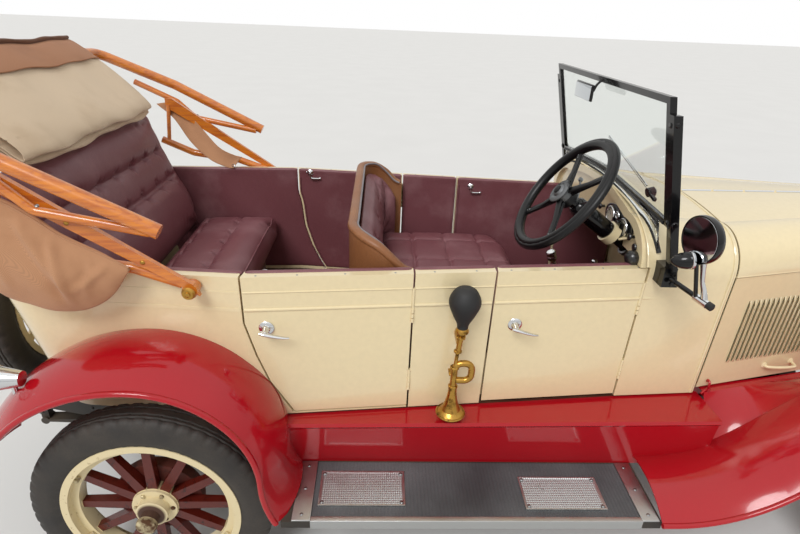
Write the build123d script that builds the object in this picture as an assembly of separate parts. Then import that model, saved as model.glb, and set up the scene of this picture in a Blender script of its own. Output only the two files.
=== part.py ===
from build123d import *
import os
from math import asin, cos, degrees, radians, sin, sqrt

# Open touring car of the late 1920s, right-hand drive. Lengths are in millimetres.
# It is drawn with X forward from the rear axle, Y to the car's left and Z up from
# the ground; node() then moves each piece so that X = 0 is at mid-length.

# Overall sizes
wheel_base = 2718
rear_overhang = 700          # rear axle to the back of the spare tyre
front_overhang = 432         # front axle to the nose of the front fenders
track = 1422
tyre_radius = 381
tyre_width = 114

# Fits and gaps
pin_clearance = 0.3
seat_gap = 0.3
panel_gap = 6

# Wheels
rim_radius = 268
rim_flange_radius = 282
rim_half_width = 50
felloe_radius = 236
felloe_half_width = 24
spoke_count = 12
spoke_width = 30
hub_radius = 50
hub_flange_radius = 72
hub_reach = 95               # hub end, outboard of the wheel's middle plane
spindle_radius = 16
drum_radius = 140
drum_inner_radius = 126
drum_near = 18               # outer face of the drum, inboard of the wheel's middle plane
drum_far = 53

# Body
belt_height = 1157
body_bottom = 636
sill_bottom = 590
wall = 38
body_lean = 18 / 517         # inward lean of the sides per unit of drop from the belt
cowl_front = wheel_base - 838
cowl_front_half = track / 2 - 266
body_widest_at = 330
body_widest_half = track / 2 - 111
tail_at_belt = -503
tail_at_bottom = -372
tail_corner = 150
tail_corner_side = track / 2 - 151      # half width where the tail's corners begin
cowl_rear = 1540
engine_rear = cowl_front + 110
seat_shell_top = belt_height + 78
seat_base_top = 800
rear_seat_half = track / 2 - 211
front_seat_half = track / 2 - 223
seat_back_top = belt_height + 255
floor_top = 608
rear_door_rear = 310
rear_door_front = 815
front_door_rear = 1077
front_door_front = 1568
door_bottom = 646
arch_curve = ((326, 1000), (338, 880), (371, 775), (440, 646))

# Frame
rail_outer = 400
rail_flange = 48
rail_top = 590
rail_depth = 120
rail_wall = 6
axle_drop_height = 318       # underside line of the front axle's dropped middle
kingpin_y = track / 2 - 101
kingpin_radius = 10
eye_radius = 24
eye_half = 42
steering_arm = 150
track_rod_height = 305
track_rod_radius = 11
axle_tube_radius = 36
banjo_radius = 120
frame_rear = -560
rear_member_x = -510
spare_height = 790
crank_bore = 24
crank_member_x = wheel_base + 172
spring_y = rail_outer - rail_flange / 2
spring_half_width = 22
front_spring = (wheel_base + 372, wheel_base - 388)     # X of the eye and of the shackle
rear_spring = (640, -520)
spring_eye_height = 416
leaf_stack = 34
rod_pin_radius = 7

# Fenders, running boards and aprons
bar_reach = track / 2 - 126      # half length of the headlamp bar
plate_hole_spacing = 120     # number plate's bolt holes
plate_hole_radius = 3.5
board_top = 414
board_thickness = 28
board_inner = track / 2 - 147
board_outer = track / 2 + 105
board_rear = 420
board_front = wheel_base - 1078
fender_outer = track / 2 + 117
fender_crown_y = track / 2 - 21
fender_inner = track / 2 - 166
fender_crown = 58
fender_inner_rise = 40
fender_sheet = 5
fender_lead = 45             # level stretch beside the running board's end
fender_rise = 40             # degrees
sweep_radius = 530
crest_radius = 736
nose_radius = 500
fender_crest_back = 18       # crest behind the front axle
fender_bead = 9
ridge_height = 634
ridge_rear = track / 2 - 89
ridge_front = track / 2 - 121
apron_rear = 466
apron_front = board_front + 265

# Bonnet and radiator
radiator_back = wheel_base - 63
radiator_depth = 95
radiator_half = 270
radiator_top = belt_height + 128
radiator_foot = 560
bonnet_rear_top = belt_height + 118
cowl_rear_top = belt_height + 177
shoulder_drop = 47           # belt to where the bonnet's shoulders begin
bonnet_sheet = 4
hinge_rod_radius = 4
side_hinge_height = belt_height - 37
bonnet_bottom = 662

# Windscreen
screen_base = (1606, belt_height + 8)    # X and Z where the posts stand on the cowl
screen_top = (1485, belt_height + 529)
screen_half = track / 2 - 201
screen_bar = 20

# Hood
bow_y = track / 2 - 43
bow_radius = 21
strut_y = track / 2 - 81
hood_pivot = (176, belt_height - 29)     # X and Z

# Steering
column_y = -min(rail_outer - 120, cowl_front_half - 95)     # inside the rail and the cowl
wheel_center = (1323, column_y, belt_height + 177)
column_slope = radians(36)
hand_wheel_radius = 212
hand_wheel_grip = 12
column_radius = 19
dash_setback = 14

mid_length = (wheel_base + front_overhang - rear_overhang) / 2
hub_height = tyre_radius
wheel_y = track / 2


def v(x, y, z):
    return Vector(x, y, z)


def node(name, *shapes):
    """Write the solids of one named piece, moved so that the origin is at mid-length."""
    solids = [solid for shape in shapes for solid in shape.solids()]
    moved = [solid.moved(Location((-mid_length, 0, 0))) for solid in solids]
    export_step(moved[0] if len(moved) == 1 else Compound(moved), f"parts/{name}.step")


def outline(start, *steps):
    """Closed wire. A step is a point to draw a line to, or a pair: a point to pass and an end."""
    edges = []
    here = start
    for step in steps:
        if isinstance(step, tuple) and isinstance(step[0], Vector):
            edges.append(ThreePointArc(here, step[0], step[1]).edge())
            here = step[1]
        else:
            edges.append(Line(here, step).edge())
            here = step
    if (here - start).length > 0.001:
        edges.append(Line(here, start).edge())
    return Wire(edges)


def polygon(points):
    return outline(v(*points[0]), *[v(*p) for p in points[1:]])


def prism(wire, along):
    return Solid.extrude(Face(wire), v(*along))


def side_prism(points, y_from, y_to):
    """Solid with a side-view outline of (x, z) points, between two Y planes."""
    return prism(polygon([(x, y_from, z) for x, z in points]), (0, y_to - y_from, 0))


def plan_prism(points, z_from, z_to):
    return prism(polygon([(x, y, z_from) for x, y in points]), (0, 0, z_to - z_from))


def block(x0, x1, y0, y1, z0, z1):
    return plan_prism([(x0, y0), (x1, y0), (x1, y1), (x0, y1)], z0, z1)


def loft_between(*wires):
    return Solid.make_loft(list(wires), ruled=True)


def rod(start, end, radius):
    a, b = v(*start), v(*end)
    return Solid.make_cylinder(radius, (b - a).length, Plane(a, z_dir=b - a))


def largest(shape):
    return max(shape.solids(), key=lambda solid: solid.volume)


def both(shape):
    """The right-hand shape and its left-hand mirror image."""
    return [shape, mirror(shape, about=Plane.XZ)]


def tube_along(points, radius, bend):
    path = FilletPolyline(*[v(*p) for p in points], radius=bend)
    start = path @ 0
    return sweep(Plane(start, z_dir=path % 0) * Circle(radius), path=path)


# Wheels. Each is drawn about the origin with its outboard side towards -Y.

def revolved(points):
    """Turn a closed (radius, y) outline about the Y axis."""
    wire = polygon([(r, y, 0) for r, y in points])
    return Solid.revolve(Face(wire), 360, Axis.Y)


def make_tyre():
    bead = rim_radius + seat_gap
    inner = rim_half_width - 6 - seat_gap
    bulge = tyre_width / 2
    section = outline(
        v(bead, -inner, 0), v(bead, inner, 0), v(bead + 18, inner, 0),
        (v(325, bulge, 0), v(tyre_radius - 12, bulge - 14, 0)), v(tyre_radius, bulge - 24, 0),
        v(tyre_radius, 24 - bulge, 0), v(tyre_radius - 12, 14 - bulge, 0),
        (v(325, -bulge, 0), v(bead + 18, -inner, 0)))
    return Solid.revolve(Face(section), 360, Axis.Y)


def make_rim():
    flange = rim_half_width - 6
    return revolved([
        (rim_radius - 9, -rim_half_width), (rim_flange_radius, -rim_half_width),
        (rim_flange_radius, -flange), (rim_radius, -flange), (rim_radius, flange),
        (rim_flange_radius, flange), (rim_flange_radius, rim_half_width),
        (rim_radius - 9, rim_half_width)])


def make_spokes():
    reach = felloe_radius + 4
    foot, end = spoke_width + 4, spoke_width - 4
    spoke = loft_between(
        polygon([(30, -foot / 2, -foot / 2), (30, foot / 2, -foot / 2),
                 (30, foot / 2, foot / 2), (30, -foot / 2, foot / 2)]),
        polygon([(reach, -end / 2, -end / 2), (reach, end / 2, -end / 2),
                 (reach, end / 2, end / 2), (reach, -end / 2, end / 2)]))
    return [spoke.rotate(Axis.Y, 360 / spoke_count * k) for k in range(spoke_count)]


def make_wheel():
    """Wood-spoked wheel with its rim, hub, brake drum and a bore for the spindle."""
    felloe = revolved([
        (felloe_radius, -felloe_half_width), (rim_radius - 9, -felloe_half_width),
        (rim_radius - 9, felloe_half_width), (felloe_radius, felloe_half_width)])
    hub = revolved([
        (0, -hub_reach), (30, -hub_reach), (30, -60), (hub_radius, -52), (hub_radius, -26),
        (hub_flange_radius, -26), (hub_flange_radius, 26), (0, 26)])
    drum = revolved([
        (0, drum_near), (drum_radius, drum_near), (drum_radius, drum_far),
        (drum_inner_radius, drum_far), (drum_inner_radius, drum_near + 8),
        (0, drum_near + 8)])
    wheel = make_rim().fuse(felloe, hub, drum, *make_spokes())
    bore = rod((0, -hub_reach + 20, 0), (0, 200, 0), spindle_radius + pin_clearance)
    return wheel - bore


def set_wheel(shape, x, side):
    """Place a wheel part at an axle end; side is -1 for the right and 1 for the left."""
    turned = shape if side < 0 else mirror(shape, about=Plane.XZ)
    return turned.moved(Location((x, side * wheel_y, hub_height)))


def build_wheels():
    tyre, wheel = make_tyre(), make_wheel()
    corners = (  # name, axle X, side
        ("front_right", wheel_base, -1), ("front_left", wheel_base, 1),
        ("rear_right", 0, -1), ("rear_left", 0, 1))
    for name, x, side in corners:
        node(f"{name}_tyre", set_wheel(tyre, x, side))
        node(f"{name}_wheel", set_wheel(wheel, x, side))
    build_spare(tyre)


def build_spare(tyre):
    """A tyre on its rim, standing across the tail on a three-armed bracket."""
    spare_x = -rear_overhang + tyre_width / 2
    upright = Location((spare_x, 0, spare_height), (0, 0, 90))
    node("spare_tyre", tyre.moved(upright))
    plate_x = spare_x + 10
    plate = rod((plate_x, 0, spare_height), (plate_x + 10, 0, spare_height), 60)
    arm = block(plate_x, plate_x + 10, -18, 18, 0, rim_radius - 6)
    arms = [arm.rotate(Axis.X, 120 * k).moved(Location((0, 0, spare_height)))
            for k in range(3)]
    low = rail_top - 60
    post = block(plate_x + 10, rear_member_x - 30, -40, 40, low, rail_top - 12)
    stay = block(plate_x + 10, plate_x + 30, -40, 40, low, spare_height + 20)
    node("spare_rim", make_rim().moved(upright).fuse(plate, stay, post, *arms))


# Frame, axles and springs

def rail_outline(inset):
    """Side view of a frame rail; the front end drops to a spring horn."""
    top, low = rail_top - inset, rail_top - rail_depth + inset
    kick, dip, horn = wheel_base - 398, wheel_base - 78, wheel_base + 322
    return [(frame_rear + inset, top), (kick, top), (dip, 520 - inset), (horn, 500 - inset),
            (horn + 75, 470 - inset), (horn + 75, 425 + inset), (horn, 440 + inset),
            (dip, 430 + inset), (kick, low), (-380, low), (frame_rear + inset, low + 45)]


def build_frame():
    rail = side_prism(rail_outline(0), -rail_outer, -rail_outer + rail_flange)
    pocket = side_prism(rail_outline(rail_wall), -rail_outer + rail_wall,
                        -rail_outer + rail_flange)
    node("chassis_rails", *both(rail - pocket))
    in_rail = rail_outer - rail_wall - seat_gap
    between = rail_outer - rail_flange - seat_gap
    members = (  # X of the middle, depth along X, half width, bottom Z, top Z
        (rear_member_x, 60, in_rail, 520, 580), (-190, 60, in_rail, 520, 583),
        (930, 70, in_rail, 485, 575), (1600, 70, in_rail, 512, 572),
        (radiator_back + 45, 70, between, 470, radiator_foot),
        (crank_member_x, 80, in_rail, 450, 490))
    bars = [block(x - depth / 2, x + depth / 2, -half, half, low, top)
            for x, depth, half, low, top in members]
    crank_hole = rod((crank_member_x - 90, 0, 470), (crank_member_x + 90, 0, 470),
                     crank_bore / 2)
    bars[-1] = bars[-1] - crank_hole
    node("chassis_cross_members", *bars)


def make_spring(x_front, x_rear, x_axle, seat, eye):
    """Semi-elliptic spring: a curved leaf pack, thick over the axle, with rolled ends."""
    top = seat + leaf_stack
    pack = prism(outline(
        v(x_front, 0, eye), (v((x_front + x_axle) / 2, 0, (eye * 0.38 + seat * 0.62)),
                             v(x_axle + 60, 0, seat)),
        v(x_axle - 60, 0, seat), (v((x_rear + x_axle) / 2, 0, (eye * 0.38 + seat * 0.62)),
                                  v(x_rear, 0, eye)),
        v(x_rear, 0, eye + 9), (v(x_axle, 0, top), v(x_front, 0, eye + 9))),
        (0, 2 * spring_half_width, 0))
    ends = [rod((x, 0, eye + 4), (x, 2 * spring_half_width, eye + 4), 15)
            for x in (x_front, x_rear)]
    return pack.fuse(*ends).moved(Location((0, -spring_y - spring_half_width, 0)))


def build_springs():
    front_seat_z = axle_drop_height + 46
    front = make_spring(*front_spring, wheel_base, front_seat_z, spring_eye_height - 22)
    rear_seat_z = hub_height + axle_tube_radius + 4
    rear = make_spring(*rear_spring, 0, rear_seat_z, spring_eye_height + 16)
    shackles = []
    for x, low, high in ((front_spring[0], 400, 430), (front_spring[1], 410, 475),
                         (rear_spring[0], 436, 472), (rear_spring[1], 440, 520)):
        shackles.append(block(x - 14, x + 14, -spring_y - 14, -spring_y + 14, low, high))
    front = front.fuse(shackles[0], shackles[1])
    rear = rear.fuse(shackles[2], shackles[3])
    frame = side_prism(rail_outline(0), -rail_outer, -rail_outer + rail_flange)
    node("leaf_springs", *both(front - frame), *both(rear - frame))


def build_front_axle():
    """Forged beam, I-shaped in section, dropped between its ends, with the kingpins."""
    half_depth = 24
    low, high = axle_drop_height, axle_drop_height + 46
    eye_low, eye_high = hub_height - eye_half, hub_height + eye_half
    end = kingpin_y - eye_radius * 0.7
    outer, top = kingpin_y - 50, kingpin_y - 65
    bend = (spring_y + spring_half_width + top) / 2 - 21.5
    shape = [(-end, eye_high - 12), (-end, eye_low + 12), (-outer, eye_low + 4),
             (-bend - 20, low), (bend + 20, low), (outer, eye_low + 4), (end, eye_low + 12),
             (end, eye_high - 12), (top, eye_high - 16), (bend, high), (-bend, high),
             (-top, eye_high - 16)]
    beam = prism(polygon([(wheel_base - half_depth, y, z) for y, z in shape]),
                 (2 * half_depth, 0, 0))
    web = [(10 - bend, low + 9), (bend - 10, low + 9), (bend - 10, high - 9),
           (10 - bend, high - 9)]
    for x in (wheel_base - half_depth, wheel_base + half_depth - 15):
        beam = beam - prism(polygon([(x, y, z) for y, z in web]), (15, 0, 0))
    ends = []
    for y in (-kingpin_y, kingpin_y):
        ends.append(rod((wheel_base, y, eye_low), (wheel_base, y, eye_high), eye_radius))
        ends.append(rod((wheel_base, y, eye_low - 24), (wheel_base, y, eye_high + 24),
                        kingpin_radius))
    pads = [block(wheel_base - 55, wheel_base + 55, y - 22, y + 22, high - 10, high)
            for y in (-spring_y, spring_y)]
    node("front_axle", beam.fuse(*ends, *pads))


def build_rear_axle():
    """Axle tubes with the round differential housing, spring seats and brake plates."""
    reach = wheel_y - drum_near - 10
    parts = [rod((0, -reach, hub_height), (0, reach, hub_height), axle_tube_radius - 2)]
    housing = Solid.make_sphere(banjo_radius, Plane((0, 0, hub_height)))
    parts.append(housing & block(-95, 95, -130, 130, 200, 560))
    plate = wheel_y - drum_far
    for side in (-1, 1):
        parts.append(rod((0, side * (plate - 2), hub_height), (0, side * (plate - 8), hub_height),
                         drum_radius - 4))
        parts.append(rod((0, side * reach, hub_height), (0, side * (wheel_y + 60), hub_height),
                         spindle_radius))
        parts.append(block(-60, 60, side * spring_y - 22, side * spring_y + 22,
                           hub_height, hub_height + axle_tube_radius + 4))
    node("rear_axle", parts[0].fuse(*parts[1:]))


def make_knuckle():
    """Right-hand stub axle: ears about the kingpin, spindle, brake plate and steering arm."""
    x, z = wheel_base, hub_height
    inner = eye_radius + 4
    block_y = -kingpin_y - inner
    parts = [block(x - 26, x + 26, block_y - 14, block_y, z - eye_half - 22, z + eye_half + 22)]
    for low in (z - eye_half - 22, z + eye_half + 0.5):
        ear = rod((x, -kingpin_y, low), (x, -kingpin_y, low + 21.5), eye_radius)
        parts += [ear, block(x - 22, x + 22, block_y, -kingpin_y, low, low + 21.5)]
    plate = -wheel_y + drum_far
    parts.append(rod((x, plate + 6, z), (x, plate + 2, z), drum_radius - 4))
    parts.append(rod((x, block_y, z), (x, -wheel_y - 60, z), spindle_radius))
    arm_z = z - eye_half - 22
    parts.append(block(x - steering_arm - 16, x, -kingpin_y - 12, -kingpin_y + 12,
                       arm_z, arm_z + 12))
    knuckle = parts[0].fuse(*parts[1:])
    pin = rod((x, -kingpin_y, 200), (x, -kingpin_y, 560), kingpin_radius + pin_clearance)
    ball = rod((x - steering_arm, -kingpin_y, 0), (x - steering_arm, -kingpin_y, 600),
               rod_pin_radius + pin_clearance)
    return knuckle - pin - ball


def build_steering_gear():
    for name, shape in zip(("right_knuckle", "left_knuckle"), both(make_knuckle())):
        node(name, shape)
    x = wheel_base - steering_arm
    arm_z = hub_height - eye_half - 22
    ends = kingpin_y
    parts = [rod((x, -ends, track_rod_height), (x, ends, track_rod_height), track_rod_radius)]
    for y in (-ends, ends):
        parts.append(rod((x, y, track_rod_height - 14), (x, y, arm_z - 0.5), 17))
        parts.append(rod((x, y, track_rod_height - 14), (x, y, arm_z + 14), rod_pin_radius))
    node("track_rod", parts[0].fuse(*parts[1:]))


def column_point(distance):
    """A point on the column's axis, forward and down from the hand wheel's middle."""
    x, y, z = wheel_center
    return (x + distance * cos(column_slope), y, z - distance * sin(column_slope))


def build_steering_wheel():
    rim = Solid.make_torus(hand_wheel_radius, hand_wheel_grip)
    hub = Solid.make_cylinder(34, 46, Plane((0, 0, -34)))
    spokes = [block(20, hand_wheel_radius - 3, -10, 10, -14, -4).rotate(Axis.Z, 45 + 90 * k)
              for k in range(4)]
    wheel = rim.fuse(hub, *spokes)
    shaft_hole = Solid.make_cylinder(11 + pin_clearance, 60, Plane((0, 0, -60)))
    axis = v(-cos(column_slope), 0, sin(column_slope))
    place = Plane(wheel_center, x_dir=v(0, -1, 0), z_dir=axis)
    node("steering_wheel", (wheel - shaft_hole).moved(place.location))


def build_steering_column():
    tube = rod(column_point(34.5), column_point(1120), column_radius)
    shaft = rod(column_point(4), column_point(40), 11)
    x, y, z = column_point(1120)
    box = block(x - 70, x + 60, y - 42, y + 45, rail_top - 95, z + 30)
    foot = block(x - 60, x + 60, -rail_outer + rail_wall, y, rail_top - 95, rail_top - 25)
    dash_x = cowl_rear + dash_setback
    bracket = block(dash_x - 24, dash_x, y - 20, y + 20, column_point(270)[2], 1240)
    node("steering_column", tube.fuse(shaft, box, foot, bracket))


# Body shell

def body_half(x, z=belt_height):
    """Half width of the straight body side at X, leaning in below the belt."""
    slope = (body_widest_half - cowl_front_half) / (cowl_front - body_widest_at)
    return body_widest_half - slope * (x - body_widest_at) - body_lean * (belt_height - z)


def tub_plan(z, tail, inset, front):
    """Plan outline of the body at one height, from the tail forward to X = front."""
    side = lambda x: body_half(x, z) - inset
    rear_side = tail_corner_side - body_lean * (belt_height - z) - inset
    back = tail + inset
    corner = tail_corner - inset
    mid = corner * (1 - sqrt(0.5))
    x0 = back + corner
    w = side(rear_door_rear)
    right = [v(x0, -rear_side, z), (v(back + mid, -rear_side + mid, z),
                                   v(back, -rear_side + corner, z))]
    left = [v(back, rear_side - corner, z), (v(back + mid, rear_side - mid, z),
                                            v(x0, rear_side, z))]
    return outline(v(front, -side(front), z), v(rear_door_rear, -w, z), *right, *left,
                   v(rear_door_rear, w, z), v(front, side(front), z))


def tail_face(z):
    """X of the tail's outer face at a height; it slopes in towards the bottom."""
    drop = (belt_height - z) / (belt_height - body_bottom)
    return tail_at_belt + (tail_at_bottom - tail_at_belt) * drop


def quarter_half(x, z):
    """Half width of the body side behind the rear doors."""
    front_half = body_half(rear_door_rear, z)
    rear_half = tail_corner_side - body_lean * (belt_height - z)
    corner_x = tail_face(z) + tail_corner
    return rear_half + (front_half - rear_half) * (x - corner_x) / (rear_door_rear - corner_x)


def tub_solid(inset, low, high, front):
    return loft_between(tub_plan(low, tail_face(low), inset, front),
                        tub_plan(high, tail_face(high), inset, front))


def tub_shell():
    outer = tub_solid(0, body_bottom, belt_height, front_door_front)
    inner = tub_solid(wall, body_bottom - 40, belt_height + 40, front_door_front + 1)
    return outer - inner


def rear_door_outline(gap):
    """Side view of a rear door's opening; its lower back edge goes round the wheel arch."""
    g = gap
    (x1, z1), (x2, z2), (x3, z3), (x4, z4) = arch_curve
    back = rear_door_rear
    return [(rear_door_front + g, belt_height + 60), (rear_door_front + g, door_bottom - g),
            (x4 - g, door_bottom - g), (x3 - g, z3), (x2 - g, z2), (back - g, z1),
            (back - g, belt_height + 60)]


def front_door_outline(gap):
    g = gap
    return [(front_door_front + g, belt_height + 60), (front_door_front + g, door_bottom - g),
            (front_door_rear - g, door_bottom - g), (front_door_rear - g, belt_height + 60)]


hinge_radius = 4.5
hinge_heights = (720, 1030)      # foot of each hinge
hinge_leaf = 25


def hinge_point(x, z):
    return (x, -body_half(x, z), z)


def hinge_piece(x, low, high, towards):
    """One knuckle of a door hinge with the leaf that ties it to a face at X = towards."""
    knuckle = rod(hinge_point(x, low), hinge_point(x, high), hinge_radius)
    y_low, y_high = (body_half(x, z) for z in (low, high))
    ends = [polygon([(x, -y, z), (towards, -y, z), (towards, -y + 12, z), (x, -y + 12, z)])
            for y, z in ((y_low, low), (y_high, high))]
    return knuckle.fuse(loft_between(*ends))


def door_hinges(door_front, on_door):
    """Hinge knuckles in the gap ahead of a door: one on the door, two on the body."""
    x = door_front + panel_gap / 2
    pieces = []
    for foot in hinge_heights:
        steps = ((1,) if on_door else (0, 2))
        for k in steps:
            low = foot + k * (hinge_leaf + pin_clearance)
            face = door_front - 2 if on_door else door_front + panel_gap + 2
            pieces.append(hinge_piece(x, low, low + hinge_leaf, face))
    return pieces


def door_room(door_front):
    """Space the body leaves round a door's own hinge knuckles."""
    x = door_front + panel_gap / 2
    r = hinge_radius + pin_clearance
    return [rod(hinge_point(x, foot - pin_clearance),
                hinge_point(x, foot + 3 * hinge_leaf + 3 * pin_clearance), r)
            for foot in hinge_heights]


def make_door(shell, shape, door_front, door_rear):
    door = shell & side_prism(shape, -700, -300)
    hinge_x = door_front + panel_gap / 2
    for foot in hinge_heights:
        r = hinge_radius + pin_clearance
        door = door - rod(hinge_point(hinge_x, foot - 2),
                          hinge_point(hinge_x, foot + 3 * hinge_leaf + 3), r)
    # The closing edge slants inwards so that it clears the pillar as it swings.
    y = body_half(door_rear)
    bevel = plan_prism([(door_rear - 1, -y), (door_rear + 6, -y + wall + 12),
                        (door_rear - 1, -y + wall + 12)], 500, belt_height + 10)
    return (door - bevel).fuse(*door_hinges(door_front, True))


def build_doors(shell):
    doors = (("rear_door", rear_door_outline(0), rear_door_front, rear_door_rear),
             ("front_door", front_door_outline(0), front_door_front, front_door_rear))
    for name, shape, door_front, door_rear in doors:
        right, left = both(make_door(shell, shape, door_front, door_rear))
        node(f"{name}_right", right)
        node(f"{name}_left", left)


def build_rear_tub(shell):
    """Quarter panels and tail in one, cut to the back edge of the rear doors."""
    tub = shell & block(-700, rear_door_front, -700, 700, 0, belt_height + 100)
    opening = side_prism(rear_door_outline(panel_gap), -700, 700)
    node("rear_tub", tub - opening)


def build_pillars(shell):
    """The fixed panel between the doors on each side, with the rear door's hinges."""
    strip = shell & block(rear_door_front + panel_gap, front_door_rear - panel_gap,
                          -700, 0, 0, belt_height + 100)
    for room in door_room(rear_door_front):
        strip = strip - room
    node("centre_pillars", *both(strip.fuse(*door_hinges(rear_door_front, False))))


def cowl_section(x, half, top, corner_z, shoulder_in, shoulder_z, inset, low):
    """Section across the car: straight sides, rounded shoulders and an arched top."""
    w = half - inset
    foot = half - body_lean * (corner_z - low) - inset
    s = shoulder_in + inset * 0.3
    sz = shoulder_z - inset
    cz = corner_z - inset * 0.4
    mid_y = w - 0.2 * s
    mid_z = cz + 0.7 * (sz - cz)
    return outline(v(x, -foot, low), v(x, -w, cz), (v(x, -mid_y, mid_z), v(x, -w + s, sz)),
                   (v(x, 0, top - inset), v(x, w - s, sz)), (v(x, mid_y, mid_z), v(x, w, cz)),
                   v(x, foot, low))


def cowl_stations(inset, low):
    rows = (  # X, half width, top, corner start, shoulder inset, shoulder height
        (cowl_rear, body_half(cowl_rear), cowl_rear_top, belt_height - shoulder_drop, 150,
         cowl_rear_top - 42),
        (cowl_front, cowl_front_half + 8, bonnet_rear_top, belt_height - shoulder_drop - 5, 160,
         bonnet_rear_top - 21))
    return [cowl_section(*row, inset, low) for row in rows]


def bonnet_stations(inset, low):
    rows = (
        (cowl_front + panel_gap, cowl_front_half + 8, bonnet_rear_top,
         belt_height - shoulder_drop - 5, 160, bonnet_rear_top - 21),
        (radiator_back - panel_gap, radiator_half, radiator_top, side_hinge_height, 110,
         radiator_top - 23))
    return [cowl_section(*row, inset, low) for row in rows]


def build_cowl():
    """Scuttle from the windscreen to the bonnet, with the firewall and dashboard in it."""
    outer = loft_between(*cowl_stations(0, body_bottom))
    inner = loft_between(*cowl_stations(wall * 0.7, body_bottom - 30))
    shell = outer - inner
    roof = radiator_top + 200
    for side in (-1, 1):
        y0, y1 = sorted((side * 300, side * 700))
        shell = shell - block(cowl_rear - 1, front_door_front + panel_gap, y0, y1, 500,
                              belt_height + 4)
    cut = block(cowl_front - 30, cowl_front - 10, -600, 600, 600, roof)
    firewall = outer & cut
    column_hole = rod(column_point(500), column_point(760), column_radius + 4)
    firewall = firewall - column_hole
    dash_x = cowl_rear + dash_setback
    dash = outer & block(dash_x, dash_x + 10, -600, 600, belt_height + 6, roof)
    dash = dash - rod(column_point(150), column_point(420), column_radius + 4)
    hinge_rod = rod((cowl_front - 14, 0, bonnet_rear_top),
                    (radiator_back - seat_gap, 0, radiator_top), hinge_rod_radius)
    for room in door_room(front_door_front):
        shell = shell - both(room)[0] - both(room)[1]
    hinges = [piece for h in door_hinges(front_door_front, False) for piece in both(h)]
    node("cowl", shell.fuse(firewall, dash, hinge_rod, *hinges))


def side_hinge(x):
    """Right-hand point on the line where a bonnet's side panel hangs from its top panel."""
    x0, x1 = cowl_front + panel_gap, radiator_back - panel_gap
    w0, w1 = cowl_front_half + 8, radiator_half
    t = (x - x0) / (x1 - x0)
    return (x, -(w0 + (w1 - w0) * t), side_hinge_height)


def build_bonnet():
    """Two-leaf bonnet on each side: a top panel on the centre rod and a louvred side panel."""
    outer = loft_between(*bonnet_stations(0, bonnet_bottom))
    inner = loft_between(*bonnet_stations(bonnet_sheet, bonnet_bottom - 1))
    shell = outer - inner
    x0, x1 = cowl_front, radiator_back
    centre_room = rod((x0 - 14, 0, bonnet_rear_top), (x1, 0, radiator_top),
                      hinge_rod_radius + 0.6)
    ends = [side_hinge(x) for x in (x0 + panel_gap, x1 - panel_gap)]
    beads = [(x, y + bonnet_sheet / 2, z) for x, y, z in ends]
    bead = rod(*beads, hinge_rod_radius)
    past = (v(*beads[1]) - v(*beads[0])).normalized() * 20
    room_ends = [tuple(v(*beads[0]) - past), tuple(v(*beads[1]) + past)]
    bead_room = rod(*room_ends, hinge_rod_radius + 0.6)
    top = (shell & block(x0, x1, -600, 0, side_hinge_height, radiator_top + 100)) - centre_room
    top = top.fuse(bead)
    side = (shell & block(x0, x1, -600, 0, 600, side_hinge_height)) - bead_room
    louvre_cut = louvre_slots()
    side = side - louvre_cut
    for name, shape in (("bonnet_top", top), ("bonnet_side", side)):
        right, left = both(shape)
        node(f"{name}_right", right)
        node(f"{name}_left", left)


louvre_count = 24
louvre_first = cowl_front + 98
louvre_last = radiator_back - 194
louvre_low = bonnet_bottom + 98
louvre_high = side_hinge_height - 100


def louvre_slots():
    """Upright slots through the side panel, one behind each louvre."""
    pitch = (louvre_last - louvre_first) / (louvre_count - 1)
    return [block(louvre_first + k * pitch, louvre_first + k * pitch + 7, -520, -200,
                  louvre_low, louvre_high) for k in range(louvre_count)]


def build_radiator():
    """Plated shell with an arched top, its core set back in it, and the filler cap."""
    x0, x1 = radiator_back, radiator_back + radiator_depth
    row = (radiator_half + 4, radiator_top + 4, side_hinge_height, 110, radiator_top - 20)
    sections = [cowl_section(x, *row, 0, radiator_foot) for x in (x0, x1)]
    shell = loft_between(*sections)
    mouth = loft_between(*[cowl_section(x, *row, 42, 640) for x in (x1 - 30, x1 + 10)])
    neck = rod((x0 + 48, 0, radiator_top - 10), (x0 + 48, 0, radiator_top + 26), 24)
    cap = rod((x0 + 48, 0, radiator_top + 26), (x0 + 48, 0, radiator_top + 52), 34)
    node("radiator", (shell - mouth).fuse(neck, cap))


# Floor, engine and running gear below

def build_floor():
    """Floor boards with the wood sills under the body sides and a sloping toe board."""
    def half(x, inset):
        return body_half(x, body_bottom) - inset

    tail = tail_at_bottom + 8
    rear_half = tail_corner_side - body_lean * (belt_height - body_bottom) - 90
    floor = plan_prism([
        (tail + 60, -rear_half), (0, -half(330, 40)), (330, -half(330, 5)),
        (1640, -half(1640, 5)), (1640, half(1640, 5)), (330, half(330, 5)), (0, half(330, 40)),
        (tail + 60, rear_half)], rail_top, floor_top)
    toe = side_prism([(1640, rail_top), (1850, 760), (1850, 785), (1640, floor_top)],
                     -half(1850, 45), half(1850, 45))
    sill = plan_prism([(330, -half(330, 5)), (1875, -half(1875, 5)), (1875, -half(1875, 55)),
                       (330, -half(330, 55))], rail_top, body_bottom)
    tail_sill = plan_prism([(tail + 60, -rear_half), (0, -half(330, 40)), (330, -half(330, 5)),
                            (330, -half(330, 60)), (0, -half(330, 90)),
                            (tail + 60, -rear_half + 50)], rail_top, body_bottom)
    wide = rear_seat_half - 20
    box_front = prism(polygon([(120, -wide, floor_top), (120, -wide, seat_base_top),
                               (120, wide, seat_base_top), (120, wide, floor_top)]),
                      (20, 0, 0))
    node("floor", floor.fuse(toe, *both(sill), *both(tail_sill), box_front))




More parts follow.
